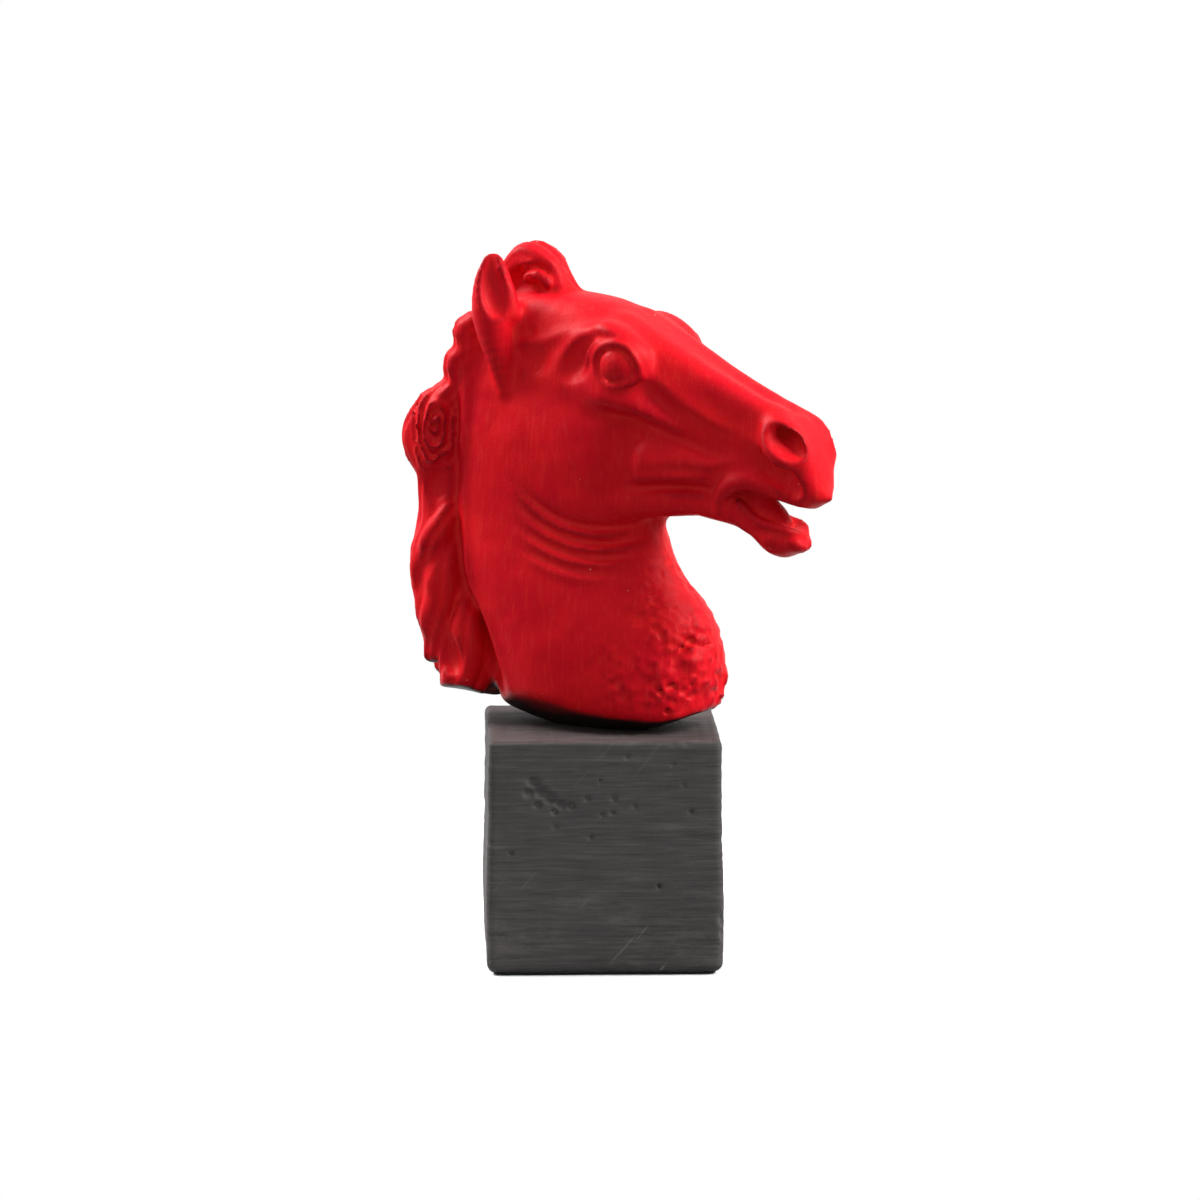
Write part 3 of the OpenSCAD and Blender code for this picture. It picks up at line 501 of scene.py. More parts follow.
def lips(d, q):
    # Deep groove behind the corner of the mouth, and the fold round it
    groove = [(52, 14.4, -48, 2.2), (51.6, 15, -41, 2.9), (53, 15.4, -34.6, 3), (58, 15, -29.2, 2.5),
              (64, 15, -27.2, 1.6)]
    carve(d, q, chain(groove, 2), 2)
    fold = [(88, 0, -29.6, 2), (85.6, 4.4, -30, 1.8), (80.6, 6.8, -31, 1.6), (74, 8.8, -31.6, 1.7),
            (68, 10.4, -31.8, 2.2), (62, 11.8, -33, 2.9), (57.6, 11.6, -37.2, 3.2), (55.4, 10.8, -43, 3),
            (57.2, 9.8, -47.6, 2.2)]
    join(d, q, chain(fold, 3), 1.6)
    # Roll of the lower lip and the groove below it, the channel inside it, and the tongue
    roll = [(62.6, 9.4, -41.2, 1.4), (67.5, 9.6, -43.2, 1.8), (75, 9.2, -44.4, 2), (82, 7.8, -43, 2.1),
            (86, 4.6, -43, 2.2), (88, 0, -44, 2.2)]
    join(d, q, chain(roll, 3), 1.4)
    stroke(d, q, [(60, -45.6), (67, -47.8), (74, -48.8), (81, -49)], 1.8, -0.9, 3)
    channel = [(64, 6.8, -38.8, 1.4), (72, 6.6, -40.6, 2), (80, 5.4, -40.4, 2), (85, 2.4, -39.6, 1.8)]
    carve(d, q, chain(channel), 1.2)
    carve(d, q, egg((79.6, 0, -41), (4.6, 6, 3.2), 10), 1.2)
    join(d, q, egg((70.6, 0, -41.4), (12.4, 6.2, 4.6), 10), 1)
    join(d, q, chain([(58, 0, -37, 6), (68, 0, -38, 4.6)]), 1.4)


def ears(d, q):
    # A leaf with a second rim, and the cup hollowed out of both
    near = np.flatnonzero(q[:, 0] < -30)
    p = q[near]
    leaf = [(-42.4, 20, -47, 1.6), (-48, 20.6, -38, 4.6), (-54.2, 21.2, -29, 6.8), (-59.8, 21.6, -20, 7.8),
            (-64.4, 21.6, -11.4, 6), (-67.2, 21.2, -4.2, 3.3)]
    rim = [(-65.6, 20.2, -4, 2.8), (-61.4, 19.6, -8, 3), (-56.6, 18.8, -12.8, 3.2), (-52, 18.4, -19, 3)]
    cup = [(-54.4, 27.5, -17, 3.6), (-56.6, 27.4, -14.4, 4.8), (-59, 27.1, -11.4, 5.2),
           (-61.8, 26.6, -8.2, 4.8), (-64.4, 25.8, -5, 4), (-67, 24.4, -1.2, 2.8)]
    shell = smooth_min(chain(leaf, 3)[0](p), chain(rim, 3)[0](p), 4)
    ear = smooth_max(shell, -chain(cup, 3)[0](p), 1.6)
    d[near] = smooth_min(d[near], ear, 4)
    # Fold at the root and the dimple before it
    stroke(d, q, [(-37, -50), (-40, -42), (-42, -33), (-43, -26)], 2.6, -0.6)
    carve(d, q, egg((-42.5, 20.5, -21.5), (3.4, 2.6, 2.6)), 1.6)


def forelock(d, h):
    q = np.stack([h[:, 0], np.abs(h[:, 1] - 1), h[:, 2]], 1)
    join(d, q, egg((-58, 0, -13), (10, 6.5, 11)), 3)
    arch = [(-66, 3, -17, 5), (-67, 3.4, -9, 5.4), (-63.5, 3.4, -1.2, 5.8), (-55, 3, -1.6, 6),
            (-47.5, 2.4, -5.6, 5.2), (-40, 1, -7.6, 3.8)]
    join(d, q, lock(arch, 6, 0.6), 2)
    # Hollow on its side, with strands inside
    carve(d, q, egg((-51, 10.2, -1.6), (7.6, 4.6, 4.6), -12), 1.6)
    join(d, q, chain([(-57, 8.4, -7, 2.2), (-53, 8.2, -4, 2.4), (-48.6, 8, -5, 2)], 3), 1.4)
    turns = np.radians([10, 60, 110, 160, 200])
    for r in (3, 5.6, 8.2):
        stroke(d, q, [(-55 + r * np.cos(t), -6.5 + 0.8 * r * np.sin(t)) for t in turns], 0.8, 0.7, 3)


# Mane and neck, on axes to the throat, to the side, and up from the seat

# The far side's locks hang lower than the near side's, by twice the drop
MANE_DROP = 4.0
MANE_DROP_RUN = 5
CREST = [(-44, 0, 152, 9), (-54, 0, 126, 11), (-57, 0, 92, 12), (-56, 0, 60, 12), (-50, 0, 24, 12)]
# Locks above and below the rosette: ends, count of strands, depth of the grooves between them
UPPER_LOCKS = (
    ([(-42, 3, 158, 5), (-51.6, 5.5, 153, 6.2), (-53, 6, 144, 4.5)], 6, 1.0),
    ([(-48, 4, 147, 6), (-55.4, 5.5, 140, 6.5), (-56, 6, 131, 5.5), (-64, 5, 123, 8)], 6, 1.0),
)
LOWER_LOCKS = (
    ([(-64, 5, 98, 9), (-65, 5, 84, 8), (-67, 5.5, 68, 9), (-68.5, 5, 57, 8.5), (-66, 5, 47, 7)], 6, 1.2),
    ([(-60, 6, 72, 7), (-62, 7, 54, 9), (-64.5, 7, 40, 8.5), (-66, 6, 32, 6.5), (-66.5, 6, 26, 5)], 6, 1.2),
    ([(-56, 8, 86, 5), (-61.5, 9.5, 77, 7), (-66.5, 9, 69, 7.4), (-69, 7, 60, 5)], 6, 1.4),
    ([(-50, 6, 52, 7), (-52, 8, 36, 9.5), (-54, 8, 22, 10), (-56, 7, 8, 9)], 6, 1.2),
)
HAIR_UNEVEN = 0.9
# Line on the side where the neck's skin ends
SKIN_EDGE = np.array([
    (-50, 150), (-56, 134), (-56.5, 106), (-56, 78), (-53, 55), (-45, 40), (-37, 18), (-34, 6),
])


def mane(d, n):
    y = n[:, 1] - 1
    q = np.stack([n[:, 0], np.abs(y), n[:, 2] + MANE_DROP * (1 + y / np.hypot(y, MANE_DROP_RUN))], 1)
    join(d, q, chain(CREST), 4)
    for form in UPPER_LOCKS:
        join(d, q, lock(*form), 2)
    join(d, q, curl((-64.8, 5, 110.5), (14.5, 10.5, 18.5), (1, 5), 2.9, 1.4), 2)
    for form in LOWER_LOCKS:
        join(d, q, lock(*form), 2)
    # Uneven hair, the edge of the skin, and recesses between the locks
    side = np.stack([n[:, 0], np.abs(y), n[:, 2]], 1)
    hair = np.flatnonzero((np.abs(d) < NEAR) & (n[:, 0] < -46))
    uneven = grain(n[hair] * (1, 1, 0.4), 4.4, 32) + grain(n[hair] * (1, 1, 0.6), 9, 33)
    d[hair] += HAIR_UNEVEN * ease(-46, -56, n[hair, 0]) * uneven
    stroke(d, side, SKIN_EDGE, 2.4, -2.8, 5)
    stroke(d, side, SKIN_EDGE + (4.5, 0), 2.4, 1.0, 5)
    carve(d, q, egg((-63, 15, 92.5), (5.5, 6, 7), 15), 2.5)
    carve(d, q, egg((-58, 17, 27), (5, 6, 9), -20), 2.5)


# Folds of skin round the throat: radius, from and to in degrees, depth. Each is a groove with a ridge
# outside it.
WRINKLES = ((50.8, 214, 288, 1.5), (56.5, 222, 290, 1.4), (62, 230, 286, 1.3), (67.7, 238, 276, 1))
WRINKLE_AT = (6.7, 129.8)
WRINKLE_SHAPE = 0.94
WRINKLE_RIDGE = 2.9


def wrinkles(d, n):
    q = np.stack([n[:, 0], np.abs(n[:, 1] - 0.5), n[:, 2]], 1)
    for radius, start, stop, depth in WRINKLES:
        turns = np.radians(np.linspace(start, stop, 6))
        for out, width, height in ((0, 1.9, -depth), (WRINKLE_RIDGE, 1.8, 0.7 * depth)):
            r = radius + out
            xs = WRINKLE_AT[0] + WRINKLE_SHAPE * r * np.cos(turns)
            stroke(d, q, np.stack([xs, WRINKLE_AT[1] + r * np.sin(turns)], 1), width, height)


# Depth of the pits in the break low on the throat, and its share further up the throat
PIT_DEPTH = 3.2
UPPER_ROUGHNESS = 0.3


def plaster(d, p, n):
    """Uneven hand-worked surface everywhere, and the rough break low on the throat."""
    near = np.flatnonzero(np.abs(d) < NEAR)
    p = p[near]
    even = 0.22 * grain(p, 11, 1) + 0.12 * grain(p, 4.5, 2)
    low_break = ease(52, 30, n[near, 2]) * ease(0, 16, n[near, 0])
    rough = low_break + UPPER_ROUGHNESS * ease(92, 74, n[near, 2]) * ease(16, 27, n[near, 0])
    rough *= 0.75 + 0.5 * grain(p, 13, 7)
    pits = np.maximum(grain(p * (1, 1, 0.7), 6.4, 3) * 0.8 + grain(p, 2.4, 4) * 0.7 - 0.35, 0)
    d[near] += even + rough * (PIT_DEPTH * pits + 0.8 * grain(p, 7, 5) + 0.6 * grain(p, 2.2, 6))


# Underside: skew of its lowest line on the near side, rise and run before and behind that line, rise to the
# sides, and depth below the seat
UNDER_SKEW = 0.8
UNDER_RISES = (10.0, 13.5)
UNDER_RUNS = (29.0, 42.0)
UNDER_SIDES = 80
UNDER_SEAT = 2


def underside(n):
    """Shallow bowl round the seat. Its lowest line runs towards the throat on the near side."""
    along = n[:, 0] + UNDER_SKEW * np.minimum(n[:, 1], 0)
    rise = np.where(along > 0, *UNDER_RISES)
    run = np.where(along > 0, *UNDER_RUNS)
    bowl = rise * (1 - np.exp(-((np.abs(along) / run) ** 3)))
    return bowl + n[:, 1] ** 2 / UNDER_SIDES - UNDER_SEAT - n[:, 2]


NECK_FILLET = 7


def bust_field(p):
    """Depths of the bust, with its near and far side alike but for the mane."""
    h = (p - HEAD_AT) @ HEAD_AXES
    n = p @ NECK_AXES
    q = np.stack([h[:, 0], np.abs(h[:, 1]), h[:, 2]], 1)
    d = skull(q)
    for part in (cheek, bridge, muzzle, eye, nostril, lips):
        part(d, q)
    d = smooth_min(d, neck(n), NECK_FILLET)
    wrinkles(d, n)
    ears(d, q)
    forelock(d, h)
    mane(d, n)
    plaster(d, p, n)
    d = smooth_max(d, underside(n), 2)
    return np.maximum(d, -p[:, 2])


# Plinth, in millimetres from the floor

# Blow holes on its front: across, height, radius
PITS = (
    (-6.9, 69, 1.1), (3.4, 69, 1.2), (2.8, 63.6, 1), (-1.2, 62.7, 0.9), (11, 66, 0.9), (-5.5, 53.8, 0.8),
    (-19, 58, 0.9), (33, 63.6, 1), (20.7, 35, 0.9), (8.4, 85, 0.9), (26, 82, 0.8), (-36, 48, 0.8),
    (30, 74, 0.7), (-2, 76, 0.7),
)
PIT_DEEP = 1.6
# Ragged crater where the casting did not fill, as such holes that run into each other
CRATER = (
    (-27.4, 75.4, 2.2), (-29.2, 71, 2), (-24.6, 71.4, 2.6), (-21, 69, 2.2), (-16.8, 66.6, 2),
    (-13, 66.2, 1.4), (-26, 66.6, 1.4), (-19.5, 64, 1.2),
)
CRATER_DEEP = 2.1
# Swelling of the sides: its height, its place and run up the plinth, and what is taken off all over
SWELL = 1.1
SWELL_AT = 0.25
SWELL_RUN = 0.32
SWELL_BASE = 0.4
# Radius of the edges at the foot, 1 less at the top
FOOT_EDGE_R = 3.2


def plinth_body(p):
    """Depths of the cube with soft edges, rounder and a little fuller towards its foot.

    Also how far each point is over the cube's inner faces, and its share of the height.
    """
    low, high = PLINTH_LOW / MM, PLINTH_HIGH / MM
    half, mid = (high - low) / 2, (high + low) / 2
    up = (p[:, 2] - low[2]) / (high[2] - low[2])
    swell = SWELL * np.exp(-(((up - SWELL_AT) / SWELL_RUN) ** 2)) - SWELL_BASE
    edge = FOOT_EDGE_R - up
    over = np.abs(p - mid) - half + edge[:, None]
    over[:, :2] -= swell[:, None]
    d = np.linalg.norm(np.maximum(over, 0), axis=1) + np.minimum(over.max(1), 0) - edge
    return d, over, up


# Depth of the board marks: on top, on the sides low down, and what is added higher up
TOP_MARKS = 0.19
LOW_MARKS = 0.05
HIGH_MARKS = 0.28


def plinth_field(p):
    """Depths of the plinth with its marks, flaws, bore and pocket."""
    d, over, up = plinth_body(p)
    near = np.flatnonzero(np.abs(d) < NEAR)
    q, on_top = p[near], over[near, 2] > over[near, :2].max(1)
    # Board marks: level on the sides, from front to back on top
    level = grain(q * (0.04, 0.04, 1), 2.6, 11) + 0.6 * grain(q * (0.07, 0.07, 1), 1.5, 12)
    along = grain(q * (1, 0.04, 0.04), 2.4, 13) + 0.6 * grain(q * (1, 0.07, 0.07), 1.4, 14)
    strength = LOW_MARKS + HIGH_MARKS * ease(0.28, 0.6, up[near]) * (0.7 + 0.5 * grain(q, 16, 15))
    marks = np.where(on_top, TOP_MARKS * along, strength * level)
    d[near] += marks + 0.2 * grain(q, 18, 16) + 0.1 * grain(q, 5, 17)
    front = PLINTH_LOW[1] / MM
    for x, z, r in PITS:
        carve(d, p, egg((x, front, z), (r, PIT_DEEP, r)), 0.4)
    for x, z, r in CRATER:
        carve(d, p, egg((x, front - 0.3, z), (1.25 * r, CRATER_DEEP, r), 20), 0.5)
    # Chips on the edges
    right = PLINTH_HIGH[0] / MM
    chips = [(right + 1, front, 22, 2.6), (right + 0.8, front + 1, 16, 2), (right, front, 90.5, 1.8),
             (26, front - 0.5, 91, 1.6), (31, front, 91.5, 1.8), (-right, front, 88, 1.4)]
    for x, y, z, r in chips:
        carve(d, p, egg((x, y, z), (r, r, 1.3 * r)), 0.8)
    # Bore of the rod and pocket of the nut
    across = np.hypot(p[:, 0], p[:, 1])
    bore_r = (ROD_HIGH[0] - ROD_LOW[0]) / 2 / MM + ROD_GAP
    pocket_r = (WASHER_HIGH[0] - WASHER_LOW[0]) / 2 / MM + POCKET_GAP
    pocket = np.maximum(across - pocket_r, p[:, 2] - WASHER_HIGH[2] / MM)
    return np.maximum(d, -np.minimum(across - bore_r, pocket))


# Meshing

# Fine steps in a coarse one, room for marks beside the surface, and points that are worked on at a time
COARSE = 4
MARK_ROOM = 4
BATCH = 150000


def field_mesh(name, field, low, high, cell, unit, level):
    """Mesh of the surface where the field is zero, from a coarse grid and then a fine one near the surface.

    The field works in parts of unit, from a place at that level.
    """
    low, high = np.array(low, float), np.array(high, float)
    big = cell * COARSE
    counts = np.ceil((high - low) / big).astype(int) + 1
    lines = [start + big * np.arange(count) for start, count in zip(low, counts)]
    points = np.stack(np.meshgrid(*lines, indexing="ij"), -1).reshape(-1, 3)
    depths = field(points).reshape(counts).astype(np.float32)
    for axis in range(3):
        depths = np.repeat(depths, COARSE, axis)
    half = COARSE // 2
    size = (counts - 1) * COARSE + 1
    depths = np.ascontiguousarray(depths[half:half + size[0], half:half + size[1], half:half + size[2]])
    near = np.abs(depths) < big + MARK_ROOM
    places = low + cell * np.argwhere(near)
    batches = np.array_split(places, 1 + len(places) // BATCH)
    depths[near] = np.concatenate([field(batch) for batch in batches])
    grid = openvdb.FloatGrid()
    grid.background = big
    grid.copyFromArray(depths)
    corners, quads = grid.convertToQuads(0.0)
    places = (low + cell * corners) * unit + (0, 0, level)
    mesh = bpy.data.meshes.new(name)
    mesh.from_pydata(places.tolist(), [], quads[:, ::-1].tolist())
    mesh.update()
    mesh.polygons.foreach_set("use_smooth", np.ones(len(mesh.polygons), bool))
    return mesh


def new_object(name, data):
    thing = bpy.data.objects.new(name, data)
    bpy.context.scene.collection.objects.link(thing)
    return thing


def new_piece(name, mesh, node, material):
    piece = new_object(name, mesh)
    mesh.materials.append(material)
    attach(piece, "root")
    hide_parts(node)
    return piece


# Materials

def add(tree, kind, sockets=(), **settings):
    """New node with its settings, and its sockets set to values or linked to other nodes' outputs."""
    node = tree.nodes.new("ShaderNode" + kind)
    for name, value in settings.items():
        setattr(node, name, value)
    for name, value in dict(sockets).items():
        if isinstance(value, bpy.types.NodeSocket):
            tree.links.new(value, node.inputs[name])
        else:
            node.inputs[name].default_value = value
    return node


def new_material(name, **constants):
    material = bpy.data.materials.new(name)
    material.use_nodes = True
    tree = material.node_tree
    shader = tree.nodes["Principled BSDF"]
    for socket, value in constants.items():
        shader.inputs[socket.replace("_", " ")].default_value = value
    return material, tree, shader


def object_place(tree, scale=(1, 1, 1)):
    """Place on the object in metres, scaled on each axis."""
    place = add(tree, "TexCoord").outputs["Object"]
    return add(tree, "Mapping", {"Vector": place, "Scale": scale}).outputs["Vector"]


def noise(tree, place, scale, detail=3.0, roughness=0.55):
    sockets = {"Vector": place, "Scale": scale, "Detail": detail, "Roughness": roughness}
    return add(tree, "TexNoise", sockets).outputs["Fac"]


def between_values(tree, value, start, stop, **ends):
    """0 where value is at start and 1 where it is at stop, or the ends that are given."""
    sockets = {"Value": value, "From Min": start, "From Max": stop}
    sockets.update({name.replace("_", " "): end for name, end in ends.items()})
    return add(tree, "MapRange", sockets).outputs[0]


def maths(tree, operation, first, second):
    return add(tree, "Math", {0: first, 1: second}, operation=operation).outputs[0]


def height_of(tree, vector):
    """Upward part of a vector."""
    return add(tree, "SeparateXYZ", {"Vector": vector}).outputs["Z"]


def ramp(tree, value, *stops):
    """Colours or greys by value: (place, grey or colour) for each stop."""
    node = add(tree, "ValToRGB", {"Fac": value})
    elements = node.color_ramp.elements
    while len(elements) < len(stops):
        elements.new(0.5)
    for element, (place, colour) in zip(elements, stops):
        element.position = place
        element.color = (colour, colour, colour, 1) if isinstance(colour, (int, float)) else (*colour, 1)
    return node.outputs["Color"]


def mix(tree, share, first, second, kind="MIX"):
    """Colour between two colours."""
    node = add(tree, "MixRGB", {"Fac": share, "Color1": first, "Color2": second}, blend_type=kind)
    return node.outputs["Color"]


def bump(tree, shader, height, strength, distance, under=None):
    """Fine relief on a shader, over the relief under it."""
    node = add(tree, "Bump", {"Height": height, "Strength": strength, "Distance": distance})
    if under is not None:
        tree.links.new(under, node.inputs["Normal"])
    tree.links.new(node.outputs["Normal"], shader.inputs["Normal"])
    return node.outputs["Normal"]


# Colours of the paint, its dust, and the painted shade in its recesses and under the bust
RED = (0.64, 0.006, 0.011, 1)
RED_DARK = (0.54, 0.002, 0.012, 1)
RED_RECESS_SHADE = (0.2, 0.001, 0.004, 1)
RED_PALE = (0.74, 0.036, 0.027, 1)
DUST = (0.8, 0.45, 0.42, 1)
UNDERSIDE_SHADE = (0.022, 0.01, 0.01, 1)
# Heights above the seat between which the painted shade under the bust ends, in metres
UNDERSIDE_SHADE_HEIGHTS = (0.03, 0.022)


def red_paint():
    material, tree, shader = new_material("red_paint", Specular_IOR_Level=0.06)
    place = object_place(tree)
    broad = noise(tree, place, 45)
    colour = mix(tree, ramp(tree, broad, (0.35, 0.0), (0.7, 1.0)), RED, RED_DARK)
    # Brushed streaks that run up the neck, pale wear on the edges, and painted shade: the recesses darkened
    # to deep red
    streaks = noise(tree, object_place(tree, (1, 1, 0.12)), 700, 4)
    colour = mix(tree, ramp(tree, streaks, (0.52, 0.0), (0.8, 0.35)), colour, RED_PALE)
    edges = add(tree, "NewGeometry").outputs["Pointiness"]
    colour = mix(tree, ramp(tree, edges, (0.506, 0.0), (0.59, 0.7)), colour, RED_PALE)
    # Painted shade: concave places darkened towards deep red
    colour = mix(tree, ramp(tree, edges, (0.43, 0.9), (0.498, 0.0)), colour, RED_RECESS_SHADE)
    # Specks of dust and bare plaster
    specks = add(tree, "TexVoronoi", {"Vector": place, "Scale": 260}).outputs["Distance"]
    chosen = noise(tree, place, 130, 1)
    dots = ramp(tree, specks, (0.05, 1.0), (0.09, 0.0))
    few = ramp(tree, chosen, (0.66, 0.0), (0.7, 0.6))
    dust = mix(tree, 1.0, dots, few, "MULTIPLY")
    colour = mix(tree, dust, colour, DUST)
    # Painted shade: down-facing surfaces near the seat darkened to near black
    facing = height_of(tree, add(tree, "NewGeometry").outputs["Normal"])
    down = between_values(tree, facing, -0.5, -0.8)
    low = between_values(tree, height_of(tree, place), *(float(SEAT) + height for height in UNDERSIDE_SHADE_HEIGHTS))
    colour = mix(tree, maths(tree, "MULTIPLY", down, low), colour, UNDERSIDE_SHADE)
    tree.links.new(colour, shader.inputs["Base Color"])
    tree.links.new(ramp(tree, streaks, (0.3, 0.38), (0.75, 0.52)), shader.inputs["Roughness"])
    under = bump(tree, shader, noise(tree, place, 900, 5, 0.65), 0.25, 0.0006)
    bump(tree, shader, streaks, 0.16, 0.0006, under)
    return material


# Greys of the casting from dark to pale, what lies on it, and the painted shade on its top and in its
# recesses
GREYS = ((0.034, 0.03, 0.03), (0.044, 0.039, 0.039), (0.06, 0.053, 0.053))
GREY_TOP_SHADE = (0.048, 0.03, 0.028, 1)
GREY_SMUDGE = (0.15, 0.138, 0.132, 1)
GREY_SCRATCH = (0.22, 0.2, 0.19, 1)
GREY_STROKE = (0.1, 0.091, 0.089, 1)
GREY_GROOVE = (0.016, 0.014, 0.014, 1)
GREY_EDGE = (0.3, 0.28, 0.27, 1)
GREY_RECESS_SHADE = (0.027, 0.025, 0.025, 1)
# Slant of the scratches, in radians
SCRATCH_SLANT = 0.9


def grey_casting():
    material, tree, shader = new_material("grey_casting", Specular_IOR_Level=0.3)
    place = object_place(tree)
    cloud = noise(tree, place, 38, 5, 0.6)
    colour = ramp(tree, cloud, *zip((0.3, 0.5, 0.75), GREYS))
    # Painted shade on the top, darker and warmer, and pale smudges and scratches low on the sides
    facing = height_of(tree, add(tree, "NewGeometry").outputs["Normal"])
    colour = mix(tree, ramp(tree, facing, (0.6, 0.0), (0.9, 0.7)), colour, GREY_TOP_SHADE)
    low = between_values(tree, height_of(tree, place), 0.012, 0.05, To_Min=1.0, To_Max=0.1)
    smudge = ramp(tree, noise(tree, object_place(tree, (1, 1, 2.2)), 32, 6, 0.7), (0.52, 0.0), (0.72, 0.5))
    colour = mix(tree, mix(tree, 1.0, smudge, low, "MULTIPLY"), colour, GREY_SMUDGE)
    slant = add(tree, "Mapping", {"Vector": place, "Rotation": (0.0, SCRATCH_SLANT, 0.0)}).outputs["Vector"]
    slant = add(tree, "Mapping", {"Vector": slant, "Scale": (0.06, 1.0, 1.0)}).outputs["Vector"]
    scratch = ramp(tree, noise(tree, slant, 420, 1), (0.7, 0.0), (0.76, 0.7))
    colour = mix(tree, mix(tree, 1.0, scratch, low, "MULTIPLY"), colour, GREY_SCRATCH)
    # Pale and dark strokes left by the mould's boards, worn edges, and painted shade in the recesses
    strokes = noise(tree, object_place(tree, (0.06, 0.35, 1)), 900, 4)
    colour = mix(tree, ramp(tree, strokes, (0.5, 0.0), (0.8, 0.6)), colour, GREY_STROKE)
    colour = mix(tree, ramp(tree, strokes, (0.26, 0.7), (0.46, 0.0)), colour, GREY_GROOVE)
    edges = add(tree, "NewGeometry").outputs["Pointiness"]
    colour = mix(tree, ramp(tree, edges, (0.53, 0.0), (0.64, 0.6)), colour, GREY_EDGE)
    # Painted shade: concave places darkened
    colour = mix(tree, ramp(tree, edges, (0.36, 0.8), (0.47, 0.0)), colour, GREY_RECESS_SHADE)
    tree.links.new(colour, shader.inputs["Base Color"])
    tree.links.new(ramp(tree, cloud, (0.3, 0.62), (0.7, 0.85)), shader.inputs["Roughness"])
    under = bump(tree, shader, strokes, 0.3, 0.0007)
    bump(tree, shader, noise(tree, place, 1100, 4, 0.7), 0.3, 0.0005, under)
    return material


def felt_cloth():
    material, tree, shader = new_material("felt", Roughness=0.95, Specular_IOR_Level=0.1, Sheen_Weight=0.35)
    fibres = noise(tree, object_place(tree, (1, 0.2, 1)), 2600, 5, 0.7)
    colour = ramp(tree, fibres, (0.3, (0.008, 0.008, 0.009)), (0.75, (0.035, 0.035, 0.037)))
    tree.links.new(colour, shader.inputs["Base Color"])
    tufts = noise(tree, object_place(tree), 700, 4)
    bump(tree, shader, mix(tree, 0.5, fibres, tufts), 0.7, 0.0005)
    return material


def metal(name, colour, dark, roughness, thread_pitch=None):
    """Turned or plated metal with fine turning marks, and a thread where it has a pitch."""
    material, tree, shader = new_material(name, Metallic=1.0)
    place = object_place(tree)
    stain = noise(tree, place, 160, 4, 0.6)
    marks = noise(tree, object_place(tree, (0.05, 0.05, 1)), 5000, 2)
    tree.links.new(ramp(tree, stain, (0.35, dark), (0.65, colour)), shader.inputs["Base Color"])
    tree.links.new(ramp(tree, marks, (0.3, roughness), (0.7, roughness + 0.18)), shader.inputs["Roughness"])
    under = bump(tree, shader, marks, 0.2, 0.0002)
    if thread_pitch:
        parts = add(tree, "SeparateXYZ", {"Vector": place}).outputs
        turns = maths(tree, "DIVIDE", maths(tree, "ARCTAN2", parts["Y"], parts["X"]), 2 * math.pi)
        phase = maths(tree, "SUBTRACT", maths(tree, "DIVIDE", parts["Z"], thread_pitch), turns)
        thread = maths(tree, "PINGPONG", phase, 1.0)
        bump(tree, shader, thread, 1.0, thread_pitch * 0.5, under)
    return material


# Pieces

# Box of the bust's grid
BUST_LOW = (-90, -78, -3)
BUST_HIGH = (100, 56, 192)
# Room round the plinth in its grid
PLINTH_ROOM = 5


def bust_with_bore(p):
    """The bust, hollow where the sleeve of the fixing goes."""
    bore_r = (INSERT_HIGH[0] - INSERT_LOW[0]) / 2 / UNIT + INSERT_GAP
    bore_h = (INSERT_HIGH[2] - SEAT) / UNIT
    bore = np.maximum(np.hypot(p[:, 0], p[:, 1]) - bore_r, p[:, 2] - bore_h)
    return np.maximum(bust_field(p), -bore)


def make_bust():
    mesh = field_mesh("bust", bust_with_bore, BUST_LOW, BUST_HIGH, HEAD_CELL, UNIT, SEAT)
    new_piece("horse_bust", mesh, "horse_head", red_paint())


def make_plinth():
    low, high = PLINTH_LOW / MM - PLINTH_ROOM, PLINTH_HIGH / MM + PLINTH_ROOM
    mesh = field_mesh("plinth_casting", plinth_field, low, high, PLINTH_CELL, MM, 0.0)
    new_piece("plinth_cube", mesh, "plinth", grey_casting())


# Points round the felt, rings on each of its faces, the smallest ring, the squareness of its outline, the
# raggedness of its cut in parts of its size, and the height of its nap in metres
FELT_POINTS = 240
FELT_RINGS = 30
FELT_MIDDLE = 0.02
FELT_POWER = 24
FELT_RAGGED = 0.002
FELT_NAP = 0.00006


def felt_grain(flat, size, seed):
    """Grain at places in metres on the sheet."""
    return grain(np.pad(flat / MM, ((0, 0), (0, 1))), size, seed)


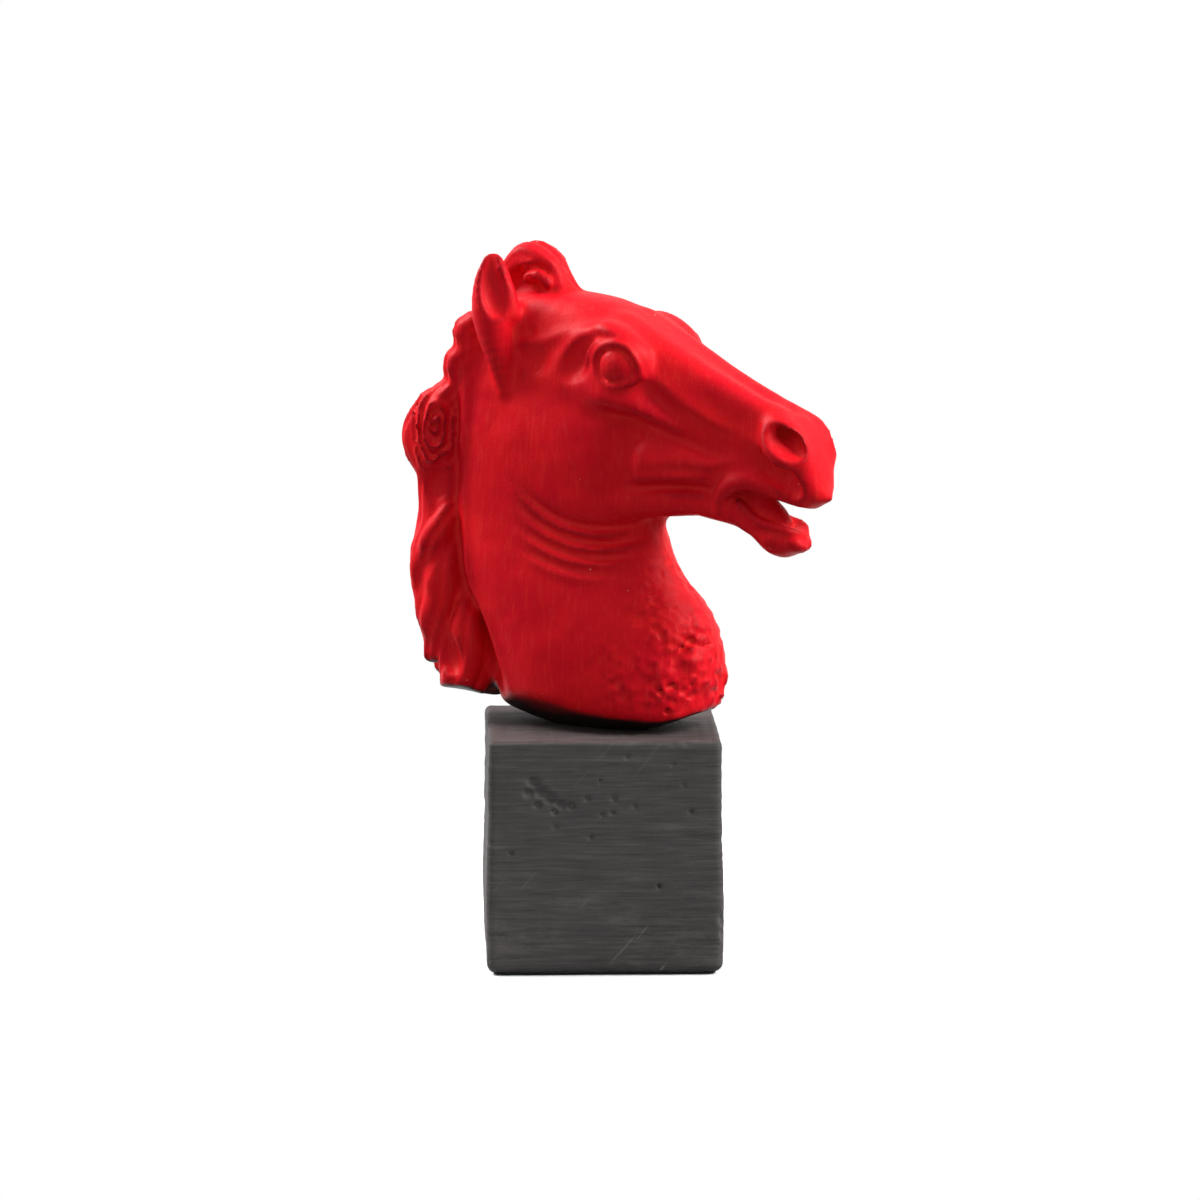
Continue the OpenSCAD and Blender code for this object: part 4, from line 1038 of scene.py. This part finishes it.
def make_felt():
    """Sheet of felt glued under the plinth, with a slightly uneven cut edge and nap."""
    half = (FELT_HIGH - FELT_LOW)[:2] / 2
    turns = np.arange(FELT_POINTS) / FELT_POINTS * 2 * np.pi
    ray = np.stack([np.cos(turns), np.sin(turns)], 1)
    edge = ray / ((np.abs(ray / half) ** FELT_POWER).sum(1) ** (1 / FELT_POWER))[:, None]
    edge *= 1 + FELT_RAGGED * felt_grain(edge, 3, 21)[:, None] - FELT_RAGGED
    # Rings out from the middle of the underside, and back in on top
    scales = np.linspace(FELT_MIDDLE, 1, FELT_RINGS)
    under, over = ([edge * scale for scale in order] for order in (scales, scales[::-1]))
    naps = [FELT_LOW[2] + np.abs(FELT_NAP * felt_grain(flat, 2.5, 22)) for flat in under]
    naps += [FELT_HIGH[2] - FELT_NAP * felt_grain(flat, 2.5, 22) for flat in over]
    corners = np.concatenate([np.column_stack(ring) for ring in zip(under + over, naps)])
    last = len(corners) - FELT_POINTS
    faces = []
    for a in range(0, last, FELT_POINTS):
        b = a + FELT_POINTS
        for j in range(FELT_POINTS):
            k = (j + 1) % FELT_POINTS
            faces.append((a + k, a + j, b + j, b + k))
    faces.append(tuple(range(FELT_POINTS)))
    faces.append(tuple(range(last, len(corners)))[::-1])
    mesh = bpy.data.meshes.new("felt_sheet")
    mesh.from_pydata(corners.tolist(), [], faces)
    mesh.update()
    felt = new_piece("felt_sheet", mesh, "base_felt", felt_cloth())


# Pitch of the rod's thread, in metres
THREAD_PITCH = 0.00125

make_bust()
make_plinth()
make_felt()
# Small parts of the fixing, which keep the frame's own meshes
for name, material in (
    ("mounting_rod", metal("zinc_steel", (0.62, 0.62, 0.63), (0.48, 0.48, 0.5), 0.3, THREAD_PITCH)),
    ("plinth_washer", metal("zinc_washer", (0.64, 0.64, 0.65), (0.5, 0.5, 0.52), 0.28)),
    ("hex_nut", metal("zinc_nut", (0.6, 0.6, 0.61), (0.46, 0.46, 0.48), 0.3)),
    ("lock_washer", metal("spring_steel", (0.2, 0.2, 0.21), (0.12, 0.12, 0.13), 0.4)),
    ("head_insert", metal("brass", (0.72, 0.5, 0.2), (0.5, 0.33, 0.12), 0.32)),
):
    node = bpy.data.objects[name]
    node.data.materials.clear()
    node.data.materials.append(material)


# Studio

def aim(thing, target, azimuth, elevation, distance):
    """Put a light or camera at that distance from its target and turn it there.

    Its place is given in degrees right of the front and above the level.
    """
    a, e = math.radians(azimuth), math.radians(elevation)
    back = Vector((math.sin(a) * math.cos(e), -math.cos(a) * math.cos(e), math.sin(e)))
    thing.location = target + distance * back
    thing.rotation_euler = back.to_track_quat("Z", "Y").to_euler()


LIGHT_TARGET = Vector((0, 0, 0.16))
LIGHT_DISTANCE = 1.3
LIGHT_SIZE = 0.6


def area_light(name, azimuth, elevation, power):
    """Soft square light on the object's middle."""
    light = bpy.data.lights.new(name, "AREA")
    light.shape = "RECTANGLE"
    light.size = light.size_y = LIGHT_SIZE
    light.energy = power
    aim(new_object(name, light), LIGHT_TARGET, azimuth, elevation, LIGHT_DISTANCE)


def seen_ray(tree):
    """1 where the background shows: to the camera, in gloss and through glass."""
    path = add(tree, "LightPath").outputs
    seen = maths(tree, "MAXIMUM", path["Is Camera Ray"], path["Is Glossy Ray"])
    return maths(tree, "MAXIMUM", seen, path["Is Transmission Ray"])


# Light of the world on the object, where the background itself is 1
WORLD_LEVEL = 0.7
# Half width of the floor and where it fades to white, in metres, and its greys as a light source and as seen
FLOOR_HALF = 3.0
FLOOR_FADE = (0.15, 0.4)
FLOOR_GREYS = (0.14, 0.88)


def make_world():
    world = bpy.data.worlds.new("studio")
    bpy.context.scene.world = world
    world.use_nodes = True
    tree = world.node_tree
    sky = tree.nodes["Background"]
    sky.inputs["Color"].default_value = (1, 1, 1, 1)
    level = between_values(tree, seen_ray(tree), 0.0, 1.0, To_Min=WORLD_LEVEL, To_Max=1.0)
    tree.links.new(level, sky.inputs["Strength"])


def make_floor():
    """White floor that holds the shadow near the object and is plain white beyond."""
    mesh = bpy.data.meshes.new("floor")
    corners = [(x * FLOOR_HALF, y * FLOOR_HALF, 0) for x, y in ((-1, -1), (1, -1), (1, 1), (-1, 1))]
    mesh.from_pydata(corners, [], [(0, 1, 2, 3)])
    floor = new_object("floor", mesh)
    material, tree, shader = new_material("floor", Roughness=0.9, Specular_IOR_Level=0.1)
    seen = seen_ray(tree)
    tree.links.new(ramp(tree, seen, *zip((0.0, 1.0), FLOOR_GREYS)), shader.inputs["Base Color"])
    place = add(tree, "TexCoord").outputs["Object"]
    away = add(tree, "VectorMath", {0: place}, operation="LENGTH").outputs["Value"]
    share = maths(tree, "MULTIPLY", between_values(tree, away, *FLOOR_FADE), seen)
    plain = add(tree, "Emission", {"Color": (1, 1, 1, 1), "Strength": 1.0}).outputs[0]
    both = add(tree, "MixShader", {0: share, 1: shader.outputs[0], 2: plain}).outputs[0]
    tree.links.new(both, tree.nodes["Material Output"].inputs["Surface"])
    mesh.materials.append(material)


def studio():
    area_light("key", 76, 35, 25)
    area_light("rim", -114, 42, 28)
    make_world()
    make_floor()
    bpy.context.scene.view_settings.view_transform = "Standard"


# The photo's view, in degrees and metres, with the lens and its sensor in millimetres
CAMERA_AZIMUTH = -1.745
CAMERA_ELEVATION = 8.48
CAMERA_DISTANCE = 2.7
CAMERA_TARGET = Vector((-0.00063, 0, 0.13915))
CAMERA_LENS = 209.16
CAMERA_SENSOR = 36
CAMERA_CLIP = 20


def camera():
    data = bpy.data.cameras.new("camera")
    data.sensor_width = CAMERA_SENSOR
    data.lens = CAMERA_LENS
    data.clip_end = CAMERA_CLIP
    view = new_object("camera", data)
    aim(view, CAMERA_TARGET, CAMERA_AZIMUTH, CAMERA_ELEVATION, CAMERA_DISTANCE)
    bpy.context.scene.camera = view


studio()
camera()
